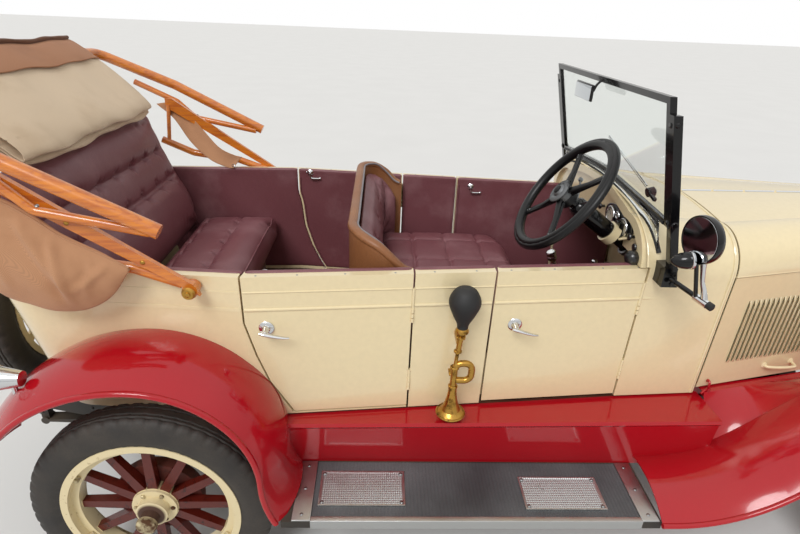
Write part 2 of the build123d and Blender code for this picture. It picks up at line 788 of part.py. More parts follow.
def build_engine():
    x0, x1 = engine_rear, radiator_back - 135
    block_low = block(x0, x1, -150, 150, 400, 760)
    head = block(x0 + 20, x1 - 20, -120, 120, 760, 960)
    web = rail_outer - rail_wall
    arms = [block(x - 25, x + 25, -web, web, 500, 535) for x in (x0 + 125, x1 - 80)]
    node("engine_block", block_low.fuse(head, *arms))
    gearbox = loft_between(
        polygon([(x0, -150, 400), (x0, 150, 400), (x0, 150, 560), (x0, -150, 560)]),
        polygon([(x0 - 250, -90, 420), (x0 - 250, 90, 420), (x0 - 250, 90, 560),
                 (x0 - 250, -90, 560)]))
    ball = Solid.make_sphere(70, Plane((x0 - 255, 0, 470)))
    tube = rod((x0 - 260, 0, 470), (100, 0, hub_height + 4), 38)
    node("gearbox_and_torque_tube", gearbox.fuse(ball, tube) - banjo_room())


def banjo_room():
    return Solid.make_sphere(banjo_radius, Plane((0, 0, hub_height))) & block(
        -95, 95, -130, 130, 200, 560)


def build_exhaust():
    box = rod((700, -230, 420), (1250, -230, 420), 62)
    pipe = tube_along([(1250, -230, 420), (engine_rear - 110, -230, 430),
                       (engine_rear, -172.5, 520), (engine_rear + 90, -172.5, 520)], 22, 50)
    tail = tube_along([(700, -230, 420), (330, -230, 430), (180, -230, 468), (-160, -230, 468),
                       (-420, -230, 430), (-500, -230, 430)], 18, 70)
    strap = [block(x - 14, x + 14, -240, -220, 470, rail_top - seat_gap) for x in (760, 1190)]
    node("exhaust", box.fuse(pipe, tail, *strap))


def build_fuel_tank():
    tank = side_prism([(-485, 430), (-215, 430), (-200, 445), (-200, 520), (-500, 520),
                       (-500, 445)], -190, rail_outer - rail_flange - 22)
    node("fuel_tank", tank)


# Fenders, aprons and running boards

def sweep_fender(path):
    """Carry a crowned strip with a rolled outer edge along a side-view path."""
    heading = path % 0
    start = path @ 0
    up = v(-heading.Z, 0, heading.X) * (1 if heading.X >= 0 else -1)
    place = lambda y, rise: start + v(0, -y, 0) + up * rise
    outer, crown, inner = fender_outer, fender_crown_y, fender_inner
    t = fender_sheet
    a, b, c = place(outer, 0), place(crown, fender_crown), place(inner, fender_inner_rise)
    d, e, f = (place(inner, fender_inner_rise - t), place(crown, fender_crown - t),
               place(outer - t, 0))
    strip = sweep(Face(outline(a, (b, c), d, (e, f))), path=path)
    bead_at = place(outer - fender_bead / 2, 0)
    bead = sweep(Plane(bead_at, z_dir=heading) * Circle(fender_bead), path=path)
    return strip.fuse(bead)


def arc_chain(start, heading, *turns):
    """Tangent arcs and lines in the XZ plane; a turn is (radius, degrees) or (length, 0)."""
    edges = []
    here, angle = v(*start), radians(heading)
    for size, turn in turns:
        if turn == 0:
            end = here + v(cos(angle), 0, sin(angle)) * size
            edges.append(Line(here, end).edge())
        else:
            side = 1 if turn > 0 else -1
            center = here + v(-sin(angle), 0, cos(angle)) * (size * side)
            mid = turned(here, center, radians(turn) / 2)
            end = turned(here, center, radians(turn))
            edges.append(ThreePointArc(here, mid, end).edge())
            angle += radians(turn)
        here = end
    return Wire(edges)


def turned(point, center, angle):
    d = point - center
    return center + v(d.X * cos(angle) - d.Z * sin(angle), 0, d.X * sin(angle) + d.Z * cos(angle))


def front_fender_turns():
    """Radius and degrees turned, or a straight length and 0, from the running board on."""
    crest_x = wheel_base - fender_crest_back
    rise = radians(fender_rise)
    level = (sweep_radius + crest_radius) * sin(rise)
    straight = (crest_x - board_front - fender_lead - level) / cos(rise)
    nose_x = wheel_base + front_overhang - crest_x
    nose_turn = degrees(asin(nose_x / (nose_radius + fender_crown)))
    return ((fender_lead, 0), (sweep_radius, fender_rise), (straight, 0),
            (crest_radius, -fender_rise), (nose_radius, -nose_turn))


rear_fender_turns = ((377, -27), (340, 90), (506, 75))
rear_fender_start = (412, 0, 402)


def front_fender_height(x):
    """Height of the front fender's edge line at X, from points along its path."""
    path = arc_chain((board_front, 0, board_top - 8), 0, *front_fender_turns())
    low, high = 0.0, 1.0
    for _ in range(30):
        mid = (low + high) / 2
        low, high = (mid, high) if (path @ mid).X < x else (low, mid)
    return (path @ low).Z


def skirt_section(x):
    """Sheet between the fender and the bonnet ledge, with its flange down to the frame."""
    half = bonnet_half(x)
    high = front_fender_height(x) + fender_inner_rise - 12
    ledge = bonnet_bottom - 8
    t = 4
    flange_y = rail_outer - 4
    inner = min(half - 14, flange_y - 6)
    y_fender = fender_inner + 10
    knee = half + 12
    return polygon([(x, -y_fender, high), (x, -knee, ledge), (x, -inner, ledge),
                    (x, -inner, ledge - t), (x, -knee - 1, ledge - t), (x, -y_fender, high - t)])


def flange_section(x):
    kick = wheel_base - 398
    foot = seat_gap + rail_top - 70 * max(0.0, min(1.0, (x - kick) / 320))
    t = 4
    y = rail_outer - 8
    half = bonnet_half(x) + 12
    high = front_fender_height(x) + fender_inner_rise - 12
    ledge = bonnet_bottom - 10
    rise = ledge + max(0.0, (y - half) / (fender_inner + 10 - half)) * (high - ledge)
    return polygon([(x, -y, foot), (x, -y, rise), (x, -y + t, rise), (x, -y + t, foot)])


def bonnet_half(x):
    """Half width of the bonnet's side at X."""
    t = (x - cowl_front) / (radiator_back - cowl_front)
    return cowl_front_half + 8 + (radiator_half - cowl_front_half - 8) * t


def build_front_fenders():
    path = arc_chain((board_front, 0, board_top - 8), 0, *front_fender_turns())
    strip = sweep_fender(path)
    inside = apron_block(board_front - 5, apron_front).moved(Location((0, -seat_gap, 0)))
    kick = wheel_base - 398
    start = apron_front + 1
    stations = (start, start + (kick - start) * 0.37, start + (kick - start) * 0.71, kick,
                kick + 160, kick + 320)
    skirt = loft_between(*[skirt_section(x) for x in stations])
    flange = loft_between(*[flange_section(x) for x in stations])
    fender = (strip - inside).fuse(skirt, flange)
    node("front_fenders", *both(fender))
    return strip


def build_rear_fenders():
    path = arc_chain(rear_fender_start, 90 + 27, *rear_fender_turns)
    low = sill_bottom - 60
    body = tub_solid(-seat_gap, low, belt_height + 40, front_door_front)
    board = block(300, 700, -900, -500, 300, board_top + seat_gap)
    fender = sweep_fender(path) - body - board
    node("rear_fenders", *both(fender))
    return fender


def build_running_boards():
    board = block(board_rear, board_front, -board_outer, -board_inner, board_top - board_thickness,
                  board_top)
    irons = []
    for x in (620, 1420):
        irons.append(block(x - 20, x + 20, -board_inner - 60, -rail_outer, board_top - 50,
                           board_top - board_thickness))
        irons.append(block(x - 20, x + 20, -rail_outer - 8, -rail_outer, board_top - 50,
                           rail_top - 10))
    node("running_boards", *both(board.fuse(*irons)))


def apron_face(ridge, inner_y):
    """Outer line of the apron's section, from under the body down to the running board."""
    return [(-inner_y, ridge_height - 6), (-ridge, ridge_height), (-ridge - 4, ridge_height - 12),
            (-ridge + 6, ridge_height - 26), (-board_inner - 1, board_top + 0.5)]


def apron_ends(x_rear, x_front):
    """Ridge and inner half widths at two stations, on straight lines along the car."""
    slope = (ridge_front - ridge_rear) / (apron_front - apron_rear)
    return [(x, ridge_rear + slope * (x - apron_rear), body_half(x, ridge_height) - 4.7)
            for x in (x_rear, x_front)]


def apron_block(x_rear, x_front):
    """Everything inboard of the apron's face, which the fender's sheet stops at."""
    sections = []
    for x, ridge, inner in apron_ends(x_rear, x_front):
        pts = apron_face(ridge, inner) + [(-300, board_top - 60), (-300, ridge_height - 6)]
        sections.append(polygon([(x, y, z) for y, z in pts]))
    return loft_between(*sections)


def build_aprons():
    t = 4
    sections = []
    for x, ridge, inner in apron_ends(apron_rear, apron_front):
        under = [(-board_inner + t, board_top + 0.5), (-ridge + 6 + t, ridge_height - 24),
                 (-ridge + t, ridge_height - 12), (-ridge + t, ridge_height - t),
                 (-inner, ridge_height - 6 - t)]
        pts = apron_face(ridge, inner) + under
        sections.append(polygon([(x, y, z) for y, z in pts]))
    node("splash_aprons", *both(loft_between(*sections)))


# Seats and trim

def build_front_seat():
    """Wrap-round seat shell, open in front, with a bench cushion and a padded back."""
    foot = body_bottom + seat_gap
    a, t = front_seat_half, 25
    top = seat_shell_top
    outer = outline(v(812, -a, foot), v(760, -a, foot),
                    (v(650, -a + 43, foot), v(610, -a + 153, foot)), v(610, a - 153, foot),
                    (v(650, a - 43, foot), v(760, a, foot)), v(812, a, foot),
                    v(812, a - t, foot), v(765, a - t, foot),
                    (v(668, a - 62, foot), v(635, a - 163, foot)), v(635, 163 - a, foot),
                    (v(668, 62 - a, foot), v(765, t - a, foot)), v(812, t - a, foot))
    shell = prism(outer, (0, 0, top - foot))
    slope = prism(outline(v(650, -600, top + 40), v(650, -600, top),
                          (v(715, -600, top - 24), v(750, -600, top - 62)),
                          (v(780, -600, top - 96), v(830, -600, top - 106)),
                          v(830, -600, top + 40)), (0, 1200, 0))
    shoulder = prism(outline(v(500, -a - 1, top - 60),
                             (v(500, 25 - a, top - 18), v(500, 90 - a, top + 1)),
                             v(500, -a - 1, top + 1)), (400, 0, 0))
    base_top = 790
    base = block(640, 1240, 68 - a, a - 68, floor_top + seat_gap, base_top)
    for cut in [slope, *both(shoulder)]:
        shell = shell - cut
    node("front_seat_shell", shell.fuse(base))
    z = base_top + seat_gap
    cushion = plan_prism([(645, 168 - a), (680, 75 - a), (730, 56 - a), (1215, 56 - a),
                          (1290, 136 - a), (1290, a - 136), (1215, a - 56), (730, a - 56),
                          (680, a - 75), (645, a - 168)], z, 915)
    z = 915 + seat_gap
    g = a - t - seat_gap
    back_line = outline(v(785, 3 - g, z), v(765, 3 - g, z),
                        (v(671, 40 - g, z), v(638, 138 - g, z)), v(638, g - 138, z),
                        (v(671, g - 40, z), v(765, g - 3, z)), v(785, g - 3, z),
                        v(785, g - 50, z), (v(718, g - 86, z), v(700, g - 168, z)),
                        v(700, 168 - g, z), (v(718, 86 - g, z), v(785, 50 - g, z)))
    back = prism(back_line, (0, 0, top - 38 - z)) - slope.moved(Location((0, 0, -38)))
    wing_seam = block(741.5, 741.5 + seat_gap, -a, a, z - 1, top)
    node("front_seat_upholstery", back - wing_seam, cushion)


def build_rear_seat():
    base_z = seat_base_top + seat_gap
    wide, top = rear_seat_half, seat_back_top
    cushion = side_prism([(190, base_z), (200, 930), (180, 948), (-150, 935), (-150, base_z)],
                         -wide, wide)
    back = side_prism([(-152, base_z + 30), (-152, 958), (-132, 985), (-134, 1040),
                       (-180, 1150), (-315, top - 32), (-345, top), (-400, top),
                       (-300, top - 332), (-240, base_z + 30)], -wide, wide)
    tail = lambda z: tail_face(z) + wall + seat_gap
    rest = belt_height - 7
    support = side_prism([(-230, 860), (-300, top - 332), (-350, rest), (tail(rest), rest),
                          (tail(860), 860)], 105 - wide, wide - 105)
    node("rear_seat_upholstery", cushion, back.fuse(support))


# Windscreen, hood, lamps and fittings

def screen_point(y, z, off=0):
    """A point on the raked windscreen at height Z; off moves it forward along X."""
    (x0, z0), (x1, z1) = screen_base, screen_top
    return (x0 + (x1 - x0) * (z - z0) / (z1 - z0) + off, y, z)


def build_windscreen():
    """Opening pane frame between two posts that stand on the cowl's shoulders."""
    top = screen_top[1]
    t = screen_bar
    sill_mid, sill_side = cowl_rear_top + 12, cowl_rear_top - 24
    outer = [(-screen_half, sill_side), (-screen_half, top), (screen_half, top),
             (screen_half, sill_side),
             (screen_half * 0.6, sill_mid - 22), (0, sill_mid), (-screen_half * 0.6, sill_mid - 22)]
    inner = [(-screen_half + t, sill_side + t), (-screen_half + t, top - t),
             (screen_half - t, top - t), (screen_half - t, sill_side + t),
             (screen_half * 0.6, sill_mid + t - 22),
             (0, sill_mid + t), (-screen_half * 0.6, sill_mid + t - 22)]
    face = lambda pts, off: polygon([screen_point(y, z, off) for y, z in pts])
    frame = prism(face(outer, 0), (t, 0, 0)) - prism(face(inner, -5), (t + 10, 0, 0))
    glass = prism(face(inner, t / 2 - 3), (6, 0, 0))
    posts = []
    for side in (-1, 1):
        y0, y1 = sorted((side * screen_half, side * (screen_half + 24)))
        low, high = side_hinge_height, top - 46
        quad = [screen_point(y, z) for y, z in ((y0, low), (y1, low), (y1, high), (y0, high))]
        posts.append(prism(polygon(quad), (t + 6, 0, 0)))
        foot_x = screen_base[0]
        y_in = side * (body_half(foot_x) - 4)
        a, b = sorted((y_in, side * (screen_half + 24)))
        posts.append(block(foot_x - 16, foot_x + 24, a, b, low, low + 65))
    cowl = loft_between(*cowl_stations(-seat_gap, body_bottom))
    node("windscreen_frame", largest(frame.fuse(*posts) - cowl))
    node("windscreen_glass", glass)


def hood_bow_line():
    """The main bow: up and back from its tips, then across the car behind the seat."""
    b = belt_height
    half = [(132, -bow_y, b + 163), (-260, -bow_y, b + 357), (-560, -bow_y + 60, b + 488),
            (-590, -bow_y + 260, b + 500)]
    return half + [(x, -y, z) for x, y, z in reversed(half)]


def build_hood_bows():
    """Folded hood: bent wood bows, flat struts to the pivots and a rear rail on each side."""
    b = belt_height
    bow = tube_along(hood_bow_line(), bow_radius, 60)
    y = -bow_y + 8
    slat = tube_along([(104, y, b + 158), (-180, y, b + 211), (-256, y, b + 283),
                       (-440, y, b + 366)], 13, 40)
    strut = side_prism([(204, b - 44), (188, b - 8), (-268, b + 300), (-300, b + 300),
                        (-300, b + 262)], -strut_y - 8, -strut_y + 8)
    rail = tube_along([(150, -strut_y + 22, b - 18), (20, -strut_y + 22, b + 28),
                       (-190, -strut_y + 22, b + 55), (-330, -strut_y + 22, b + 114)], 16, 60)
    eye = rod((hood_pivot[0], -strut_y - 8, hood_pivot[1]),
              (hood_pivot[0], -strut_y + 30, hood_pivot[1]), 22)
    pivot_y = -quarter_half(*hood_pivot) - 1
    pivot = rod((hood_pivot[0], -strut_y - 16, hood_pivot[1]),
                (hood_pivot[0], pivot_y, hood_pivot[1]), 9)
    link = rod((-262, -strut_y, b + 284), (-262, y, b + 284), 9)
    stay = rod((-300, -strut_y + 22, b + 104), (-288, -strut_y + 4, b + 270), 9)
    parts = [part for shape in (slat, strut, rail, eye, pivot, link, stay)
             for part in both(shape)]
    node("hood_bows", bow.fuse(*parts))


def build_hood_fabric():
    """Bundle of folded cloth over the rear bow, resting on the seat's back."""
    low = seat_back_top + seat_gap
    b = belt_height
    bundle = side_prism([(-330, low), (-300, b + 275), (-296, b + 305), (-480, b + 477),
                         (-570, b + 541), (-615, b + 549), (-640, b + 529), (-640, b + 443),
                         (-520, b + 293), (-430, low)], -450, 450)
    room = tube_along(hood_bow_line(), bow_radius + seat_gap, 60)
    node("hood_fabric", bundle - room)


def build_lamps(fender, rear_fender):
    """Headlamps on their bar between the front fenders, and a lamp on each rear fender."""
    x, z = wheel_base + 72, board_top + 546
    wing = bar_reach
    lamp_y = bar_reach - 255
    lamps = []
    for y in (-lamp_y, lamp_y):
        bowl = Solid.make_cone(55, 108, 130, Plane((x, y, z), z_dir=(1, 0, 0)))
        rim = rod((x + 130, y, z), (x + 155, y, z), 114)
        back = Solid.make_sphere(55, Plane((x, y, z)))
        lamps.append(back.fuse(bowl, rim))
    bar_x, low, high = x + 40, z - 120, z - 35
    bar = tube_along([(bar_x, -wing, low + 40), (bar_x, -wing, high), (bar_x, 85 - wing, high),
                      (bar_x, 165 - wing, low), (bar_x, wing - 165, low), (bar_x, wing - 85, high),
                      (bar_x, wing, high), (bar_x, wing, low + 40)], 13, 30)
    stems = [rod((bar_x, y, low), (bar_x, y, z - 56), 12) for y in (-lamp_y, lamp_y)]
    rooms = [rod((bar_x, y, low), (bar_x, y, z - 55.7), 12.3) for y in (-lamp_y, lamp_y)]
    feet = [rod((bar_x, y, low + 40), (bar_x, y, low + 72), 24) for y in (-wing, wing)]
    plate = block(bar_x + 10, bar_x + 14, -85, 85, low - 48, low + 6)
    for y in (-plate_hole_spacing / 2, plate_hole_spacing / 2):
        plate = plate - rod((bar_x, y, low - 34), (bar_x + 30, y, low - 34), plate_hole_radius)
    lift = Location((0, 0, seat_gap))
    bar = bar.fuse(*stems, *feet)
    for sheet in both(fender):
        bar = bar - sheet - sheet.moved(lift)
    node("lamp_bar", largest(bar).fuse(plate))
    lamps = [lamp - rooms[0] - rooms[1] for lamp in lamps]
    y = -fender_crown_y - 30
    stem = rod((-330, y, 825), (-330, y, 872), 8)
    shell = Solid.make_cone(22, 36, 66, Plane((-300, y, 880), z_dir=(-1, 0, 0)))
    rear = largest(shell.fuse(stem) - rear_fender - rear_fender.moved(lift))
    node("lamps", *lamps, *both(rear))


def build_horn():
    """Bulb horn on the right-hand panel: pear-shaped bulb, looped tube and flared bell."""
    x, y = 966, -body_half(970) - 50
    profile = outline(v(0, 0, 1130), (v(34, 0, 1116), v(48, 0, 1082)),
                      (v(34, 0, 1040), v(17, 0, 1008)), v(15, 0, 985), v(0, 0, 985))
    place = Location((x + 6, y, 0))
    bulb = Solid.revolve(Face(profile), 360, Axis.Z).moved(place)
    stem = rod((x + 6, y, 990), (x - 6, y, 838), 6)
    sleeve = rod((x + 4, y, 960), (x, y, 905), 9)
    loop = tube_along([(x - 6, y, 760), (x - 6, y, 858), (x + 50, y, 858), (x + 50, y, 792),
                       (x + 2, y, 792)], 11, 24)
    bell_line = outline(v(0, 0, 772), v(14, 0, 772), (v(19, 0, 716), v(32, 0, 676)),
                        v(44, 0, 664), v(44, 0, 660), v(40, 0, 660),
                        (v(16, 0, 712), v(10, 0, 760)), v(0, 0, 760))
    bell = Solid.revolve(Face(bell_line), 360, Axis.Z).moved(Location((x - 6, y, 0)))
    bracket = block(x - 8, x + 8, y, -body_half(x - 4, 946) - seat_gap, 930, 946)
    node("bulb_horn", bulb.fuse(stem, sleeve, loop, bell, bracket))


def build_mirror():
    post_y = screen_half + 24 + seat_gap
    b, y = belt_height, -screen_half - 130
    arm = rod((1612, y + 120, b - 7), (1668, y, b - 29), 8)
    stem = rod((1650, y + 18, b - 21), (1608, y, b + 105), 6)
    disc = rod((1600, y, b + 168), (1620, y + 4, b + 168), 66)
    mirror_piece = arm.fuse(stem, disc) - block(1500, 1700, -post_y, -400, b - 157, b + 143)
    node("side_mirror", mirror_piece)


def build_levers():
    """Gear lever with its floor boot, and the hand brake beside it."""
    z = floor_top + seat_gap
    gear = rod((1590, 20, z + 30), (1424, 0, 976), 9)
    knob = Solid.make_sphere(20, Plane((1424, 0, 976)))
    boot = Solid.make_cone(46, 16, 60, Plane((1585, 20, z)))
    brake = rod((1600, -70, z + 10), (1575, -70, 985), 9)
    shoe = block(1575, 1625, -84, -56, z, z + 26)
    node("hand_levers", gear.fuse(knob, boot), brake.fuse(shoe))


def main():
    os.makedirs("parts", exist_ok=True)
    shell = tub_shell()
    build_wheels()
    build_frame()
    build_springs()
    build_front_axle()
    build_rear_axle()
    build_steering_gear()
    build_steering_wheel()
    build_steering_column()
    build_doors(shell)
    build_rear_tub(shell)
    build_pillars(shell)
    build_cowl()
    build_bonnet()
    build_radiator()
    build_floor()
    build_engine()
    build_exhaust()
    build_fuel_tank()
    front_fender = build_front_fenders()
    rear_fender = build_rear_fenders()
    build_running_boards()
    build_aprons()
    build_front_seat()
    build_rear_seat()
    build_windscreen()
    build_hood_bows()
    build_hood_fabric()
    build_lamps(front_fender, rear_fender)
    build_horn()
    build_mirror()
    build_levers()


if __name__ == "__main__":
    main()
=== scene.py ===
import math
import bpy
import bmesh
import numpy as np
from numpy import (arange, array, asarray, clip, concatenate, cos, cross, exp, interp, linspace,
    maximum, meshgrid, minimum, pi, sign, sin, stack, vstack, where)
from numpy.linalg import norm
from mathutils import Matrix, Vector
from mathutils.bvhtree import BVHTree


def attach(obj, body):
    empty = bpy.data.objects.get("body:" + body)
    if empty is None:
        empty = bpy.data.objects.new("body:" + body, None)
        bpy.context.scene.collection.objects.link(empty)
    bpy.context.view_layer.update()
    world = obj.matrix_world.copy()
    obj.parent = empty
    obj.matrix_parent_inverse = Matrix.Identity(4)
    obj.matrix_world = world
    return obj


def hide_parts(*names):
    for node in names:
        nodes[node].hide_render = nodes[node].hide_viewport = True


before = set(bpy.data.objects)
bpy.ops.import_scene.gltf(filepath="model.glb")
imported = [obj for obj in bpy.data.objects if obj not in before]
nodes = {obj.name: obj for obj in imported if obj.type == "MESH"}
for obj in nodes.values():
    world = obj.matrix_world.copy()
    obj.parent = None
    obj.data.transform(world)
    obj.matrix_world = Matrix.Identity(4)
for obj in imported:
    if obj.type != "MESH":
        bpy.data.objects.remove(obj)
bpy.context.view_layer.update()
print("stage: frame loaded")

# Places below are in millimetres from the ground under the rear axle, X forward, Y left.
car = {
    "rearAxle": -1.225,      # the rear axle's X in the model, metres
    "belt": 1157,
    "bodyLow": 636,
    "lean": 18 / 517,        # how far the sides lean in per unit of drop
    "widestAt": 330,
    "widestHalf": 600,
    "cowlFront": 1880,
    "cowlFrontHalf": 445,
    "tailHalf": 560,
    "wall": 38,
}


def row(points):
    # Millimetres from the rear axle into the model's metres.
    return asarray(points, float) / 1000 + [car["rearAxle"], 0, 0]


def toCar(points):
    # The model's metres back into millimetres from the rear axle.
    return (points - row([0, 0, 0])) * 1000


def bodyHalf(x, z):
    # Half width of the body's side: a straight line in plan, leaning in below the belt.
    slope = (car["widestHalf"] - car["cowlFrontHalf"]) / (car["cowlFront"] - car["widestAt"])
    return car["widestHalf"] - slope * (x - car["widestAt"]) - car["lean"] * (car["belt"] - z)


# Camera, light and floor
view = {
    "place": (-0.5212, -1.9895, 1.8672),
    "yaw": 0.0477,
    "pitch": 0.4461,
    "roll": 0.0428,
    "focal": 535.2 / 800 * 36,
}
light = {
    "worldStrength": 0.68,
    "sunStrength": 1.7,
    "sunTurn": (math.radians(38), math.radians(-22), 0),
    "sunSpread": math.radians(24),
    "floorColor": (0.70, 0.70, 0.69, 1),
}


def makeCamera():
    cam = bpy.data.cameras.new("photoCamera")
    cam.lens, cam.sensor_width = view["focal"], 36
    cam.clip_start, cam.clip_end = 0.05, 200
    obj = bpy.data.objects.new("photoCamera", cam)
    bpy.context.scene.collection.objects.link(obj)
    yaw, pitch, roll = view["yaw"], view["pitch"], view["roll"]
    ahead = Vector((math.sin(yaw) * math.cos(pitch), math.cos(yaw) * math.cos(pitch), -math.sin(pitch)))
    level = Vector((math.cos(yaw), -math.sin(yaw), 0))
    over = level.cross(ahead)
    right = level * math.cos(roll) + over * math.sin(roll)
    up = over * math.cos(roll) - level * math.sin(roll)
    turn = Matrix((right, up, -ahead)).transposed().to_4x4()
    obj.matrix_world = Matrix.Translation(view["place"]) @ turn
    bpy.context.scene.camera = obj


class Value:
    # A value inside a node tree, held as the socket that gives it; reckoning adds nodes.
    def __init__(self, tree, socket):
        self.tree, self.socket = tree, socket

    def reckon(self, kind, other=0.0, clamp=False):
        return put(self.tree, "Math", {0: self, 1: other}, operation=kind, use_clamp=clamp)

    def __add__(self, other):
        return self.reckon("ADD", other)

    def __mul__(self, other):
        return self.reckon("MULTIPLY", other)

    def spread(self, low, high, toLow=0.0, toHigh=1.0, smooth=False):
        # From low..high into toLow..toHigh, held at the ends.
        return put(self.tree, "MapRange", {"Value": self, "From Min": low, "From Max": high,
            "To Min": toLow, "To Max": toHigh}, interpolation_type="SMOOTHSTEP" if smooth else "LINEAR")

    def mix(self, a, b):
        # Colour a where this value is 0 and b where it is 1.
        return put(self.tree, "Mix", {0: self, 6: a, 7: b}, 2, data_type="RGBA")

    def noise(self, scale, detail=3, roughness=0.5, distortion=0.0):
        return put(self.tree, "TexNoise", {"Vector": self, "Scale": scale, "Detail": detail,
            "Roughness": roughness, "Distortion": distortion})

    def vector(self, kind, other=(0, 0, 0), output=0):
        return put(self.tree, "VectorMath", {0: self, 1: other}, output, operation=kind)

    def part(self, letter):
        return put(self.tree, "SeparateXYZ", {0: self}, letter)

    def bump(self, strength, distance):
        return put(self.tree, "Bump", {"Height": self, "Strength": strength, "Distance": distance})


def hexColor(text):
    # A screen colour such as dccba2 as linear light.
    parts = array([int(text[k:k + 2], 16) for k in (0, 2, 4)]) / 255
    linear = where(parts <= 0.04045, parts / 12.92, ((parts + 0.055) / 1.055) ** 2.4)
    return (*[float(c) for c in linear], 1.0)


def setInputs(tree, node, values):
    # Link or set each input; a text is a screen colour.
    for key, value in values.items():
        value = getattr(value, "socket", value)
        if isinstance(value, bpy.types.NodeSocket):
            tree.links.new(value, node.inputs[key])
        else:
            node.inputs[key].default_value = hexColor(value) if isinstance(value, str) else value


def addNode(tree, kind, inputs=None, **settings):
    # A shader node with its settings and inputs.
    made = tree.nodes.new("ShaderNode" + kind)
    for key, value in settings.items():
        setattr(made, key, value)
    setInputs(tree, made, inputs or {})
    return made


def put(tree, kind, inputs, output=0, **settings):
    return Value(tree, addNode(tree, kind, inputs, **settings).outputs[output])


def place3(tree):
    # The place on the object, in metres.
    return put(tree, "TexCoord", None, "Object")


def startMaterial(name):
    made = bpy.data.materials.new(name)
    made.use_nodes = True
    tree = made.node_tree
    return made, tree, next(n for n in tree.nodes if n.type == "BSDF_PRINCIPLED")


def makeLight():
    scene = bpy.context.scene
    scene.view_settings.view_transform = "Standard"
    world = bpy.data.worlds.new("paleRoom")
    scene.world = world
    world.use_nodes = True
    tree = world.node_tree
    tree.nodes.clear()
    rays = addNode(tree, "LightPath").outputs
    seen = Value(tree, rays["Is Camera Ray"]).reckon("MAXIMUM", rays["Is Transmission Ray"])
    height = put(tree, "TexCoord", None, "Generated").part("Z")
    lit, shiny, back = [put(tree, "Background", {"Color": color, "Strength": strength})
        for color, strength in (((1, 0.985, 0.96, 1), light["worldStrength"]),
        ((1, 0.99, 0.97, 1), height.spread(-0.1, 0.75, 0.55, 1.15)), ((1, 1, 1, 1), 1.0))]
    glossy = put(tree, "MixShader", {0: rays["Is Glossy Ray"], 1: lit, 2: shiny})
    both = put(tree, "MixShader", {0: seen, 1: glossy, 2: back})
    addNode(tree, "OutputWorld", {"Surface": both})
    sun = bpy.data.lights.new("softSun", "SUN")
    sun.energy, sun.angle = light["sunStrength"], light["sunSpread"]
    lamp = bpy.data.objects.new("softSun", sun)
    lamp.rotation_euler = light["sunTurn"]
    scene.collection.objects.link(lamp)


makeCamera()
makeLight()
print("stage: camera and light")


# Shared effects: each gives a colour, a roughness and a height from its own values
def coachPaint(tree, own):
    # Slight mottling, dust that gathers low down and on ledges, fine waviness.
    at = place3(tree)
    low = at.part("Z").spread(0.25, 0.85, 1.0, 0.0, True)
    facing = put(tree, "NewGeometry", None, "Normal")
    ledge = facing.part("Z").spread(0.55, 1.0, 0.0, 0.22, True)
    cloudy = (low * 0.5 + ledge) * at.noise(2.6, 4).spread(0.38, 0.68, 0.25, 1.2)
    grainy = cloudy * at.noise(420, 2, 0.6).spread(0.35, 0.7, 0.55, 1.25)
    dust = grainy.reckon("MULTIPLY", own["Dust Amount"], True)
    tone = at.noise(55, 3).spread(0.3, 0.7, -1.0, 1.0) * own["Mottle"] + 1.0
    bright = put(tree, "HueSaturation", {"Value": tone, "Color": own["Color"]})
    rough = own["Gloss"].reckon("ADD", dust * 0.9, True)
    return dust.mix(bright, own["Dust"]), rough, at.noise(9, 2) + at.noise(900, 1) * 0.05


def leathercloth(tree, own):
    # Small pebble cells with painted shade in the grooves between them, long soft wrinkles and paler
    # rubbed patches.
    at = place3(tree)
    cells = put(tree, "TexVoronoi", {"Vector": at, "Scale": own["Pebble Scale"]}, "Distance",
        feature="DISTANCE_TO_EDGE")
    pebble = cells.spread(0.0, 0.22)
    patch = at.noise(4.2, 5, 0.6).spread(0.46, 0.72, 0.0, 1.0, True)
    worn = patch.reckon("MULTIPLY", own["Wear"], True)
    mixed = worn.mix(own["Color"], own["Worn Color"])
    # Painted shade: the grooves between the pebble cells are drawn darker, towards near black.
    color = pebble.spread(0.0, 0.6, 0.45, 0.0).mix(mixed, (0.02, 0.01, 0.01, 1))
    rough = at.noise(7, 4).spread(0.3, 0.7, 0.36, 0.5) + worn * 0.15
    return color, rough, pebble * 0.12 + at.noise(26, 5, 0.6, 1.4)


def wovenCloth(tree, own):
    # Plain-woven cloth: crossing threads, with soft stains and painted shade that darkens the gaps
    # between the threads.
    at = own["Vector"]
    warp, weft = [put(tree, "TexWave", {"Vector": at, "Scale": own["Thread Scale"], "Distortion": 0.6,
        "Detail": 1.0}, "Fac", bands_direction=way) for way in "XY"]
    weave = warp * weft
    slub = at.noise(130, 3)
    stains = at.noise(5.5, 5, 0.62).spread(0.44, 0.74, 0.0, 1.0, True)
    base = stains.reckon("MULTIPLY", own["Stain"], True).mix(own["Color"], own["Stain Color"])
    # Painted shade: the gaps between the threads are drawn darker, towards dark brown.
    color = weave.spread(0.0, 0.5, 0.28, 0.0).mix(base, (0.12, 0.08, 0.05, 1))
    return color, slub.spread(0.3, 0.7, 0.82, 0.96), weave + slub * 0.5


def woodGrain(tree, own):
    # Grain along one direction: rings stretched far along it, with fine pores.
    at = place3(tree).vector("MULTIPLY", own["Stretch"])
    rings = at.noise(own["Scale"], 6, 0.62, 0.7)
    pores = at.noise(60, 2, 0.7)
    color = rings.spread(0.36, 0.66, 0.0, 1.0, True).mix(own["Light"], own["Dark"])
    spotted = pores.spread(0.6, 0.75, 0.0, 0.5).mix(color, own["Dark"])
    return spotted, rings.spread(0.3, 0.7, 0.2, 0.38), rings + pores * 0.4


